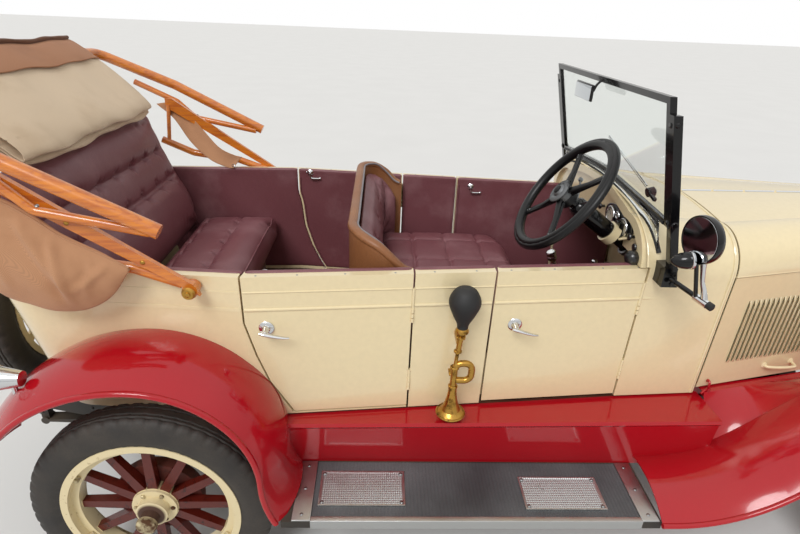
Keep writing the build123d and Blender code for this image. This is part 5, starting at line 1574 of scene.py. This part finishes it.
flap = looseFlap()
flapPiece = addPiece("sideClothFlap", [grid(flap)], tanCloth, crease=60, thick=0.0016)
at = flap[55, 4]
out = unit(cross(flap[56, 4] - flap[54, 4], flap[55, 5] - flap[55, 3]))
eyelet = spin([(1.0, 4), (2.6, 6), (1.6, 8.5), (0.4, 9)], at, -out if out[1] > 0 else out, 20)
eyeletPiece = addPiece("flapEyelet", [eyelet], steel, thick=0.0008)
hems = [tube(flap[:, 0] + [0, -1, 0], 1.8, 6), tube(flap[:, -1] + [0, -1, 0], 1.8, 6)]
flapHem = addPiece("sideClothFlapHem", hems, tanCloth)
print("stage: folded hood and side cloths")

# Hood irons and screws on the bows
hoodBits, hoodBrass = [], []
px, pz = hood["pivot"]
hoodBrass.append(spin([(0, 0), (0, 19), (2, 19.5), (5, 17), (9, 15), (9, 8), (12, 7.4), (13, 5),
    (13, 0)], (px, -649, pz), (0, -1, 0), 28))
for x, z in ((60, 1216), (-120, 1327), (-240, 1404)):
    hoodBrass.append(domeScrew((x, -638.5, z), (0, -1, 0), 7, 3))
for x, y, z in ((96, -660, 1328), (-170, -660, 1381), (-262, -668, 1448)):
    hoodBits.append(domeScrew((x, y, z), (0, -0.5, 0.8), 6, 3))
addPiece("hoodPivotBolts", bothSides(hoodBrass), brass)
addPiece("hoodBowScrews", bothSides(hoodBits), steel)
print("stage: hood fittings")


# Steering wheel, levers, pedals and the instrument panel
hand = {"centre": (1323, -280, 1334), "slope": 36.0, "radius": 200, "grip": 15}
slope = math.radians(hand["slope"])
handAxis = array([-math.cos(slope), 0, math.sin(slope)])
handOver = array([math.sin(slope), 0, math.cos(slope)])
handSide = array([0, -1.0, 0])
hub = array(hand["centre"], float)


def onWheel(r, angle, high):
    # Point at a radius and an angle round the steering wheel's axis, high along it.
    return (hub + handSide * r * math.cos(angle) + handOver * r * math.sin(angle) + handAxis * high)


bossMetal = metalFinish("greySteeringBoss", "77797b", "4a4a4b", amount=0.5, gloss=0.45)
boss = [spin([(-30, 0), (-30, 33), (10, 35), (16, 43), (19, 43), (22, 38), (23, 30), (21, 27), (21, 23),
    (25, 19), (29, 12), (30, 0)], hub, handAxis, 40)]
for k in range(4):
    boss.append(hexBolt(onWheel(33, math.radians(90 * k), 20), handAxis, 4, 3))
addPiece("steeringBoss", boss, bossMetal, "hand_wheel")
buttonRing = [spin([(27, 0), (27, 15), (31, 14), (34, 9), (35, 0)], hub, handAxis, 28)]
addPiece("hornButton", buttonRing, handRubber, "hand_wheel")
spokes, feet = [], []
for k in range(4):
    a = math.radians(45 + 90 * k)
    path = array([onWheel(r, a, h) for r, h in ((30, 4), (60, 0), (110, -7), (160, -9), (186, -6))])
    wide = array([13, 11.5, 10, 11, 14.0])
    profile = ring(1.0, 14)[None] * stack([wide, np.full(5, 6.2)], -1)[:, None, :]
    spokes.append(strand(path, profile, up=handAxis))
    for r in (170, 181):
        feet.append(domeScrew(onWheel(r, a, -1.2), handAxis, 3, 1.6))
addPiece("steeringSpokes", spokes, handRubber, "hand_wheel")
addPiece("steeringSpokeScrews", feet, steel, "hand_wheel")
t = turns(96)
rimPath = (hub + handSide * (hand["radius"] * cos(t))[:, None]
    + handOver * (hand["radius"] * sin(t))[:, None])
v = turns(24)
dents = 1.6 * clip(cos(t * 32), 0, 1)[:, None] * clip(-cos(v), 0, 1)[None, :]
rimRing = ring(1.0, 24)[None] * (hand["grip"] + 1.4 - dents)[..., None]
rim = strand(rimPath, rimRing, handAxis, True)
addPiece("steeringRim", [rim], handRubber, "hand_wheel")

levers = []
column = hub - handAxis * 60
for side, turn in ((-1, 0.5), (1, 2.4)):
    tip = column + (handSide * math.cos(turn) + handOver * math.sin(turn)) * 105 + handAxis * 12
    levers.append(tube(curve([column, column + (tip - column) * 0.5 - handAxis * 4, tip], 5), 3.4, 8))
    levers.append(spin([(-9, 0), (-6, 7), (0, 9), (6, 7), (9, 0)], tip, handAxis, 16))
addPiece("columnLevers", levers, steel)
collar = spin([(0, 24), (2, 31), (18, 31), (20, 24)], hub - handAxis * 330, handAxis, 28)
addPiece("columnCollar", [collar], steel)
sleeve = spin([(-232, 0), (-232, 32), (-70, 32), (-63, 30), (-56, 22), (-56, 0)], hub, handAxis, 36)
addPiece("columnSleeve", [sleeve], black)

knob = [spin([(-24, 0), (-24, 10), (-20, 12), (10, 19), (20, 20.5), (27, 18), (31, 11), (32, 0)],
    (1424, 0, 978), (-0.37, -0.045, 0.93), 28),
    spin([(0, 0), (0, 12), (34, 12), (38, 8), (38, 0)], (1575, -70, 962), (-0.03, 0, 1), 20)]
addPiece("leverKnobs", knob, chrome)
bootRings = [(0, 54), (6, 55), (10, 50), (16, 44), (22, 40), (26, 33), (32, 31), (38, 24), (44, 23),
    (52, 16), (60, 15), (61, 11), (61, 0)]
floorFit = [spin(bootRings, (1585, 20, 608.5), (0, 0, 1), 32)]
addPiece("gearLeverBoot", floorFit, rubber)
brakeParts = [bar((1560, -52, 700), (1640, -52, 700), 5, 170, 2, up=(0, 0, 1)),
    tube([[1579, -58, 960], [1581, -58, 820]], 3, 8, up=(1, 0, 0))]
addPiece("brakeQuadrant", brakeParts, chassisBlack)


def pedal(y):
    # Bent arm up out of the toe board and a pad across it with a ribbed face.
    arm = tube(curve([[1700, y, 664], [1672, y, 722], [1640, y, 770], [1622, y, 792]], 4), 8, 10,
        up=(0, 1, 0))
    parts = [arm, bar((1618, y - 33, 800), (1618, y + 33, 800), 74, 9, 4, up=(0.62, 0, 0.78))]
    for k in range(-2, 3):
        x, z = 1609 + k * 0.62 * 9, 796 + k * 9.0 * 0.78
        parts.append(tube([[x, y - 28, z], [x, y + 28, z]], 2.2, 6))
    return parts


pedals = pedal(-345) + pedal(-225)
pedals.append(
    tube(curve([[1712, -172, 672], [1690, -172, 706], [1672, -172, 716]], 3), 6, 8, up=(0, 1, 0)))
pedals.append(
    spin([(-5, 0), (-4, 14), (0, 20), (4, 18), (6, 0)], (1668, -172, 722), (-0.7, 0, 0.7), 22))
addPiece("footPedals", pedals, chassisBlack)

panelBlack = paintFinish("instrumentPanelBlack", "141416", gloss=0.3, dust=0.2, coat=0.3)
dialFace = paintFinish("dialFace", "cfc8b4", gloss=0.4, dust=0.2, coat=0.5)
dash = {"x": 1554.0, "dials": ((-182, 1232, 33), (-296, 1226, 33), (-239, 1250, 14)),
    "knobs": ((-239, 1214), (-372, 1222), (-420, 1206), (-100, 1236))}
a = turns(64)
oval = sign(cos(a)) * abs(cos(a)) ** 0.75 * 118, sign(sin(a)) * abs(sin(a)) ** 0.85 * 46
plateRings = [xyz(dash["x"] - depth, -239 + oval[0] * size, 1230 + oval[1] * size)
    for depth, size in ((-0.5, 1.0), (3.5, 1.0), (5, 0.97), (5, 0.93), (4, 0.91), (4, 0.0))]
addPiece("instrumentPlate", [grid(array(plateRings), closeV=True)], panelBlack)
rims, faces, marks, knobs = [], [], [], []
for y, z, r in dash["dials"]:
    at = (dash["x"] - 4, y, z)
    rims.append(
        spin([(0, r), (6, r), (9, r - 1.5), (9.5, r - 3), (8, r - 5), (4, r - 6)], at, (-1, 0, 0), 40))
    faces.append(spin([(3.5, r - 4), (3.8, r * 0.5), (4, 0)], at, (-1, 0, 0), 40))
    for k in range(12 if r > 20 else 6):
        turn = k * 2 * math.pi / (12 if r > 20 else 6)
        c, q = math.cos(turn), math.sin(turn)
        marks.append(tube([[at[0] - 4.2, y + c * (r - 8), z + q * (r - 8)],
            [at[0] - 4.2, y + c * (r - 12), z + q * (r - 12)]], 0.7, 4, up=(1, 0, 0)))
    marks.append(
        tube([[at[0] - 5, y, z], [at[0] - 5, y + 0.5 * r, z + 0.45 * r]], 0.9, 4, up=(1, 0, 0)))
for y, z in dash["knobs"]:
    knobs.append(spin([(0, 5), (12, 5), (13, 10), (17, 12.5), (21, 11), (23, 5), (23, 0)],
        (dash["x"] - 1, y, z), (-1, 0, 0), 20))
addPiece("dialRims", rims, chrome, thick=0.0006)
addPiece("dialFaces", faces, dialFace)
addPiece("dialMarks", marks, panelBlack)
addPiece("dashKnobs", knobs, panelBlack)
lip = [[dash["x"] - 1, y, z] for y, z in ((-500, 1172), (-478, 1216), (-430, 1262), (-340, 1302),
    (-200, 1322), (0, 1328), (200, 1322), (340, 1302), (430, 1262), (478, 1216), (500, 1172))]
addPiece("dashMoulding", [tube(curve(lip, 6), 3.4, 8, up=(1, 0, 0))], cream)
switch = [spin([(-26, 0), (-24, 16), (-10, 25), (8, 24), (20, 14), (24, 0)], (dash["x"] - 26, -436,
    1176), (-0.8, 0.2, 0.5), 24), tube([[dash["x"], -440, 1180], [dash["x"] - 30, -436, 1178]], 7, 8)]
addPiece("dashSwitch", switch, panelBlack)
clamp = [spin([(0, 26), (0, 39), (30, 39), (30, 26)], hub - handAxis * 246, handAxis, 28),
    bar(hub - handAxis * 262 + [0, -30, 10], hub - handAxis * 262 + [34, -62, 30], 26, 8, 3)]
addPiece("columnBracket", clamp, cream)
print("stage: driver's controls")

# Windscreen fittings, wiper and mirrors
lean = 0.2322


def screenAt(y, z, off=0.0):
    # Point on the windscreen's plane, off in front of it.
    x = 1606 - (z - 1165) * lean
    k = 1 / math.hypot(1, lean)
    return array([x + off * k, y, z + off * lean * k])


front = array([1, 0, lean]) / math.hypot(1, lean)
irons = []
for side in (-1, 1):
    for y, z, r in ((side * 513, 1322, 17), (side * 513, 1612, 14)):
        irons.append(spin([(-4, 0), (-4, r), (0, r + 1), (8, r + 1), (10, r - 3), (20, r - 5),
            (24, r - 9), (24, 0)], screenAt(y, z, 12), (0, side, 0), 24))
    for z in (1140, 1172):
        irons.append(hexBolt((1612, side * 548, z), (0, side, 0), 7, 6))
addPiece("windscreenKnobs", irons, black)
rubberLine = [screenAt(y, z, 3) for y, z in ((-486, 1316), (-430, 1322), (-292, 1334), (-150, 1348),
    (0, 1356), (150, 1348), (292, 1334), (430, 1322), (486, 1316))]
addPiece("screenRubber", [tube(curve(rubberLine, 6), 7, 8)], rubber)


def scuttleLine(reach, count):
    # Where the screen's plane meets the scuttle: rays cast down the plane on to the cowl.
    starts = [screenAt(y, 1420) for y in linspace(-reach, reach, count)]
    return surfaceAt(nodes["cowl"], starts, unit(array([lean, 0, -1.0])))


sealReach = 462
sealLine = scuttleLine(sealReach, 61)
addPiece("scuttleSeal", [tube(sealLine, 8.5)], rubber)
paneTop = sealLine.copy()
paneTop[:, 2] = 1313 + 38 * cos(sealLine[:, 1] / sealReach * 1.4)
paneTop[:, 0] = 1606 - (paneTop[:, 2] - 1165) * lean
addPiece("lowerPane", [grid(stack([sealLine, paneTop]))], glass, thick=0.004)
wiper = [tube([screenAt(-352, 1390, 14), screenAt(-196, 1438, 15), screenAt(-40, 1484, 14)], 2.4, 6),
    tube([screenAt(-350, 1385, 9), screenAt(-42, 1479, 9)], 1.8, 6)]
motor = [spin([(-12, 0), (-12, 15), (14, 16), (18, 11), (18, 0)], screenAt(-366, 1372, 16), front, 24),
    bar(screenAt(-410, 1360, 12), screenAt(-350, 1378, 12), 16, 12, 3)]
addPiece("wiperArm", wiper, chrome)
addPiece("wiperMotor", motor, black)
inside = [bar(screenAt(-40, 1640, -46), screenAt(126, 1640, -46), 10, 58, 4, up=(0, 0, 1)), tube(
    curve([screenAt(-45, 1682, -8), screenAt(-45, 1668, -30), screenAt(-42, 1648, -44)], 4), 4.5, 8)]
addPiece("insideMirror", inside, black)
mirrorGlass = metalFinish("mirrorGlass", "d5dade", "b9bcbc", amount=0.02, gloss=0.03)
face = bar(screenAt(-36, 1640, -52.5), screenAt(122, 1640, -52.5), 2, 50, 0.9, up=(0, 0, 1))
addPiece("insideMirrorGlass", [face], mirrorGlass)
sideMirror = array([1600.0, -640, 1325])
mirrorWay = (1, 0.2, 0)
shell = spin([(-1.5, 0), (-1.5, 63), (-3.5, 65), (-3.5, 68), (4, 69.5), (12, 69), (22, 66), (29, 56),
    (34, 36), (37, 12), (37.5, 0)], sideMirror, mirrorWay, 44)
addPiece("sideMirrorShell", [shell], black, crease=50)
addPiece("sideMirrorGlass",
    [spin([(-1.6, 64), (-2.4, 63), (-2.8, 30), (-3.0, 0)], sideMirror, mirrorWay, 44)], mirrorGlass)
stemLine = [(1668, -640, 1128), (1662, -634, 1160), (1650, -632, 1190), (1640, -636, 1222),
    (1630, -640, 1256)]
stemSize = interp(linspace(0, 1, 21), [0, 0.25, 0.5, 0.8, 1], [13, 10, 8, 9, 11])
plated = [strand(curve(stemLine, 5),
    ring(1.0, 14)[None] * stemSize[:, None, None] * [1.0, 0.8], up=(1, 0, 0)),
    spin([(-22, 0), (-22, 12.5), (22, 12.5), (22, 0)], (1662, -634, 1130), (0.42, -0.9, -0.16), 24)]
addPiece("sideMirrorClamp", plated, chrome)
lampAt = array([1592.0, -640, 1262])
bullet = [spin([(0, 0), (0, 23), (6, 24.5), (14, 25), (30, 22), (46, 14), (56, 5), (58, 0)], lampAt,
    (-1, 0.1, -0.1), 28), tube([lampAt + [10, 0, 0], [1632, -640, 1250]], 7, 8)]
addPiece("sideLamp", bullet, black)
addPiece("sideLampRim", [spin([(-1, 22), (-4, 25), (1, 27), (5, 25)], lampAt, (-1, 0.1, -0.1), 28)],
    chrome, thick=0.0006)
addPiece("mirrorArmEnd",
    [spin([(0, 9), (0, 12), (20, 12), (23, 8), (23, 0)], (1671, -648, 1127), (0.42, -0.9, -0.16), 18)],
    rubber)
print("stage: windscreen and mirrors")

# Bulb horn: rubber bulb, collar, mouthpiece rings
hornAt = array([972.0, -float(sideHalf(970.0, 1157.0)) - 50, 0.0])
bulbLine = curve(
    [(1131.5, 0), (1130.5, 18), (1117, 37), (1083, 49.5), (1042, 36), (1009, 20), (992, 17)], 5)
rows = [(z - 1131.5, r) for z, r in bulbLine]
addPiece("hornBulb", [spin(rows, hornAt + [0, 0, 1131.5], (0, 0, 1), 44)], rubber)
hornRings = (
    (0, 974, 28, [(0, 16), (0, 19), (4, 21), (10, 21), (14, 18), (20, 16), (20, 12)]),
    (-2, 952, 24, [(0, 12), (2, 15), (8, 15), (10, 12)]),
    (-7, 900, 24, [(0, 9), (2, 13), (7, 13), (9, 9)]),
    (-12, 838, 24, [(0, 12), (2, 15), (7, 15), (9, 12)]),
    (-12, 764, 24, [(0, 12), (2, 15.5), (7, 15.5), (9, 12)]),
    (-12, 661, 48, [(0, 45), (-3, 48), (0, 49.5), (4, 47), (4, 44)]),
)
bands = [spin(profile, hornAt + [x, 0, z], (0, 0, 1), count) for x, z, count, profile in hornRings]
bands.append(bar(hornAt + [-12, 14, 800], hornAt + [-12, 50, 800], 26, 8, 3))
addPiece("hornBands", bands, brass, crease=50)
print("stage: horn")


# Radiator: core, surround, plain badge and cap
rad = {"front": 2750.0, "recess": 2720.0, "half": 226, "low": 646, "pitch": 10.0, "capX": 2703.0,
    "capZ": 1337.0}


def coreTop(y):
    # Height of the core's arched upper edge at a half width.
    return 1178 + 62 * np.sqrt(clip(1 - (abs(y) / 234) ** 2.6, 0, 1))


def radiatorCore():
    # Flat tubes and wavy fins: depth follows |sin| across and a finer wave along the height.
    y = linspace(-rad["half"], rad["half"], 182)
    s = linspace(0, 1, 176)
    z = rad["low"] + (coreTop(y) - 6 - rad["low"]) * s[:, None]
    deep = 4.5 * abs(sin(y * pi / rad["pitch"])) ** 0.6 + 1.4 * sin(z * 2 * pi / 11.0 + y * 0.3)
    return grid(xyz(rad["recess"] + 9 - deep, y, z))


coreMetal = metalFinish("radiatorCore", "34332f", "1d1c1a", amount=0.5, gloss=0.5, metallic=0.5)
addPiece("radiatorCore", [radiatorCore()], coreMetal, crease=30)
t = linspace(-1, 1, 41)
archY = 229 * sin(t * pi / 2)
arch = xyz(rad["front"] + 1.0, archY, coreTop(archY))
edge = concatenate([[[rad["front"] + 1, -229, 642]], arch, [[rad["front"] + 1, 229, 642]]])
lip = [tube(edge, 4.5, 8, up=(1, 0, 0)),
    tube([[rad["front"] + 1, -229, 642], [rad["front"] + 1, 229, 642]], 4.5, 8)]
addPiece("radiatorLip", lip, chrome)
t = turns(48)
oval = xyz(0, 30 * cos(t), 19 * sin(t))
badge = [[rad["front"] + x, 0, 1264] + oval * size
    for x, size in ((-1, 1.0), (2, 1.0), (3.6, 0.93), (3.2, 0.86), (2.4, 0.84), (3.2, 0.0))]
addPiece("plainBadge", [grid(array(badge), closeV=True)], steel)
t = linspace(0, pi / 2, 8)
dome = [(0, 27), (2, 35), (8, 36.5),
    (14, 35)] + list(zip(14 + 14 * sin(t), 10 + 23 * cos(t))) + [(28, 0)]
capParts = [spin(dome, (rad["capX"], 0, rad["capZ"] - 18), (0, 0, 1), 40)]
for k in range(6):
    a = k * math.pi / 3
    at = array([rad["capX"] + 35 * math.cos(a), 35 * math.sin(a), rad["capZ"] - 10])
    capParts.append(spin([(-7, 0), (-6, 5), (6, 5), (7, 0)], at, (0, 0, 1), 12))
addPiece("radiatorCap", capParts, chrome)

# Headlamps, rear lamps and the blank number plate
lamp = {"x": 2945.0, "y": 330.0, "z": 960.0}
lensGlass = paintFinish("fluteLampGlass", "cfd6d6", gloss=0.08, dust=0.1, coat=1.0, mottle=0.0)
redGlass = paintFinish("redLampGlass", "7d0a10", gloss=0.08, dust=0.1, coat=1.0)
r = linspace(0, 1, 16)[:, None]
a = turns(180)[None, :]
bulge = 13 * (1 - r ** 2) + 1.0 * sin(r * 101 * cos(a) * 0.9) * (r < 0.97)
lens = xyz(lamp["x"] + 1.5 + bulge, lamp["y"] + 101 * r * cos(a), lamp["z"] + 101 * r * sin(a))
addPiece("headlampLenses", bothSides([grid(lens, closeV=True)]), lensGlass, crease=60)
lampParts = []
section = ring(1.0, 13) * [9, 6]
t = turns(80)
circle = xyz(lamp["x"] - 2, lamp["y"] + 108 * cos(t), lamp["z"] + 108 * sin(t))
lampParts.append(strand(circle, section, (1, 0, 0), True))
lampParts.append(hexBolt((lamp["x"] - 6, lamp["y"], lamp["z"] + 116), (0, 0, 1), 5, 8))
lampParts.append(hexBolt((2830, lamp["y"], 838), (0, 0, -1), 12, 10))
addPiece("headlampRims", bothSides(lampParts), chrome)
wires = [tube(curve([[2745, 318, 935], [2730, 316, 905], [2760, 312, 870], [2822, 318, 858]], 5), 5, 8)]
addPiece("headlampWires", bothSides(wires), rubber)
rearLens = [spin([(0, 31), (3, 31), (6, 28), (9, 18), (10, 0)], (-366, -720, 880), (-1, 0, 0), 32)]
addPiece("rearLampLenses", bothSides(rearLens), redGlass)
rearRim = [spin([(-2, 36.5), (4, 38), (8, 36), (9, 32), (4, 30)], (-366, -720, 880), (-1, 0, 0), 36)]
addPiece("rearLampRims", bothSides(rearRim), chrome, thick=0.0006)
plate = {"x": 2846.0, "z": (772, 862), "half": 215}
low, high = plate["z"]
plateParts = [bar((plate["x"], -plate["half"], (low + high) / 2),
    (plate["x"], plate["half"], (low + high) / 2), 3, high - low, 1.2, up=(0, 0, 1))]
far = plate["half"] - 5
edge = [(plate["x"] + 2, y, z)
    for y, z in ((-far, low + 5), (far, low + 5), (far, high - 5), (-far, high - 5))]
plateParts.append(tube(edge, 2.2, 6, up=(1, 0, 0), closed=True))
addPiece("blankNumberPlate", plateParts, black)
bolts = [hexBolt((plate["x"] + 1.5, y, 806), (1, 0, 0), 6, 5) for y in (-60, 60)]
addPiece("numberPlateBolts", bolts, steel)
print("stage: radiator and lamps")

# Engine bay: fan, belt, hoses, plugs, manifold
engineParts, hotParts, hoses, bright = [], [], [], []
for k in range(4):
    a = math.radians(45 + 90 * k)
    c, q = math.cos(a), math.sin(a)
    s = linspace(0, 1, 8)[:, None]
    w = linspace(-1, 1, 6)[None, :]
    rr = 30 + 150 * s
    wide = 22 + 22 * sin(pi * s * 0.8)
    engineParts.append(
        xyz(2590 + w * 14 + 3 * w ** 2, c * rr - q * wide * w, 830 + q * rr + c * wide * w))
addPiece("fanBlades", [grid(blade) for blade in engineParts], chassisBlack, thick=0.0025)
hubs = [
    spin([(-40, 0), (-40, 34), (-20, 34), (-18, 26), (-4, 26), (-2, 34), (10, 34), (14, 20), (22, 0)],
        (2578, 0, 830), (1, 0, 0), 28),
    spin([(0, 0), (0, 58), (5, 60), (16, 60), (20, 58), (20, 0)], (2522, 0, 480), (1, 0, 0), 32),
    spin([(0, 0), (0, 20), (24, 20), (24, 0)], (2520, 0, 830), (1, 0, 0), 20),
    bar((2010, 0, 964), (2500, 0, 964), 190, 12, 5),
    bar((2040, 0, 985), (2470, 0, 985), 120, 34, 12),
    spin([(0, 0), (0, 24), (60, 24), (66, 20), (66, 0)], (2100, 148, 640), (0, 1, 0.2), 24),
    spin([(-90, 0), (-90, 52), (-84, 56), (84, 56), (90, 52), (90, 0)], (2340, -205, 560), (1, 0, 0), 32),
    bar((2020, -153, 772), (2510, -153, 772), 8, 24, 2),
    bar((2020, 153, 772), (2510, 153, 772), 8, 24, 2),
]
addPiece("engineFittings", hubs, iron)
belt = [[2538, -36, 832], [2538, 36, 832], [2538, 62, 480], [2538, 44, 436], [2538, 0, 418],
    [2538, -44, 436], [2538, -62, 480]]
beltPart = strand(curve(belt + belt[:1], 5)[:-1], roundRect(3, 18, 1), (1, 0, 0), True)
addPiece("fanBelt", [beltPart], rubber)
for k in range(4):
    x = 2075 + 120 * k
    bright.append(spin([(0, 0), (0, 11), (8, 11), (8, 8), (26, 7), (28, 3), (34, 3), (34, 0)],
        (x, -112, 962), (0, -0.35, 1), 12))
    hoses.append(tube(curve([[x, -124, 994], [x + 6, -150, 1012], [2300 + 8 * k, -178, 950],
        [2300 + 10 * k, -168, 812]], 5), 3.4, 6))
    hotParts.append(
        tube(curve([[x, 120, 900], [x, 170, 896], [x + 10, 196, 870], [x + 20, 200, 840]], 4), 21, 12))
bright.append(spin([(0, 0), (0, 30), (50, 30), (56, 36), (84, 36), (92, 20), (92, 0)],
    (2315, -168, 740), (0, 0, 1), 28))
hotParts.append(tube(curve([[2070, 200, 838], [2250, 203, 832], [2430, 202, 838]], 5), 30, 14))
hotParts.append(tube(curve([[2080, 202, 826], [2066, 204, 740], [2050, 120, 560], [2070, -60, 520],
    [2085, -150, 520]], 6), 24, 12))
hoses.append(
    tube(curve([[2490, 0, 975], [2530, 0, 1010], [2590, 0, 1110], [2655, 0, 1160]], 6), 27, 16))
hoses.append(
    tube(curve([[2480, 150, 620], [2540, 190, 610], [2600, 170, 640], [2655, 150, 680]], 6), 24, 16))
addPiece("plugsAndDistributor", bright, steel)
addPiece("manifold", hotParts, rust)
addPiece("hosesAndLeads", hoses, rubber)
print("stage: engine bay")

# Running gear: leaves, clips, rivets and rods
gear, rivets, rods = [], [], []


def leafPack(x0, x1, eye, seat):
    # Leaves under the CAD model's own, each shorter than the one above it: flat strips along
    # the parabola from the seat to the eyes.
    parts = []
    for k in range(1, 6):
        s = linspace(0.15 * k - 1, 1 - 0.15 * k, 26)
        z = seat + (eye - seat) * abs(s) ** 1.9 + 27 - 6.4 * k
        line = xyz((x0 + x1) / 2 + s * (x1 - x0) / 2, -376, z)
        parts.append(strand(line, roundRect(46, 5.4, 1.4, 3)))
    return parts


gear += leafPack(-520, 640, 478, 424)
for x, low, high, nut in ((-60, 395, 478, 470), (60, 395, 478, 470), (2658, 330, 425, 420),
        (2778, 330, 425, 420)):
    for y in (-402, -350):
        rods.append(tube([[x, y, low], [x, y, high]], 6, 8, up=(1, 0, 0)))
        gear.append(hexBolt((x, y, nut), (0, 0, 1), 9, 9))
for x, z in ((640, 486), (-520, 486), (3090, 440), (2330, 440)):
    gear.append(hexBolt((x, -400, z), (0, -1, 0), 10, 8))
for x in arange(-480, 2560, 145):
    rivets.append(domeScrew((x, -400, 565), (0, -1, 0), 7, 4))
    rivets.append(domeScrew((x, -400, 500), (0, -1, 0), 7, 4))
addPiece("springLeavesAndNuts", bothSides(gear + rods), chassisBlack)
addPiece("frameRivets", bothSides(rivets), chassisBlack)
brakeRods = [tube([[100, -560, 360], [900, -500, 470], [1560, -90, 560]], 5, 6),
    tube([[900, -500, 470], [900, 500, 470]], 11, 10, up=(0, 0, 1)),
    tube([[100, 560, 360], [900, 500, 470]], 5, 6)]
addPiece("brakeRods", brakeRods, chassisBlack)
pipes = [tube(curve(
    [[-200, 330, 470], [0, 345, 560], [600, 345, 565], [1500, 345, 565], [2100, 300, 600]], 5), 4, 6)]
addPiece("fuelPipe", pipes, brass)
print("stage: running gear")


# Floor
def makeFloor():
    size = 60.0
    corners = array([[[-size, -size, 0], [size, -size, 0]], [[-size, size, 0], [size, size, 0]]])
    points, quads = grid(corners)[:2]
    mesh = bpy.data.meshes.new("paleFloor")
    mesh.from_pydata(points.tolist(), [], quads.tolist())
    obj = bpy.data.objects.new("paleFloor", mesh)
    made, tree, shader = startMaterial("paleFloor")
    tone = place3(tree).noise(1.3).spread(0.3, 0.7)
    low = light["floorColor"]
    high = (low[0] * 1.03, low[1] * 1.03, low[2] * 1.03, 1)
    setInputs(tree, shader, {"Base Color": tone.mix(low, high), "Roughness": 0.9})
    mesh.materials.append(made)
    bpy.context.scene.collection.objects.link(obj)


makeFloor()
print("stage: floor")
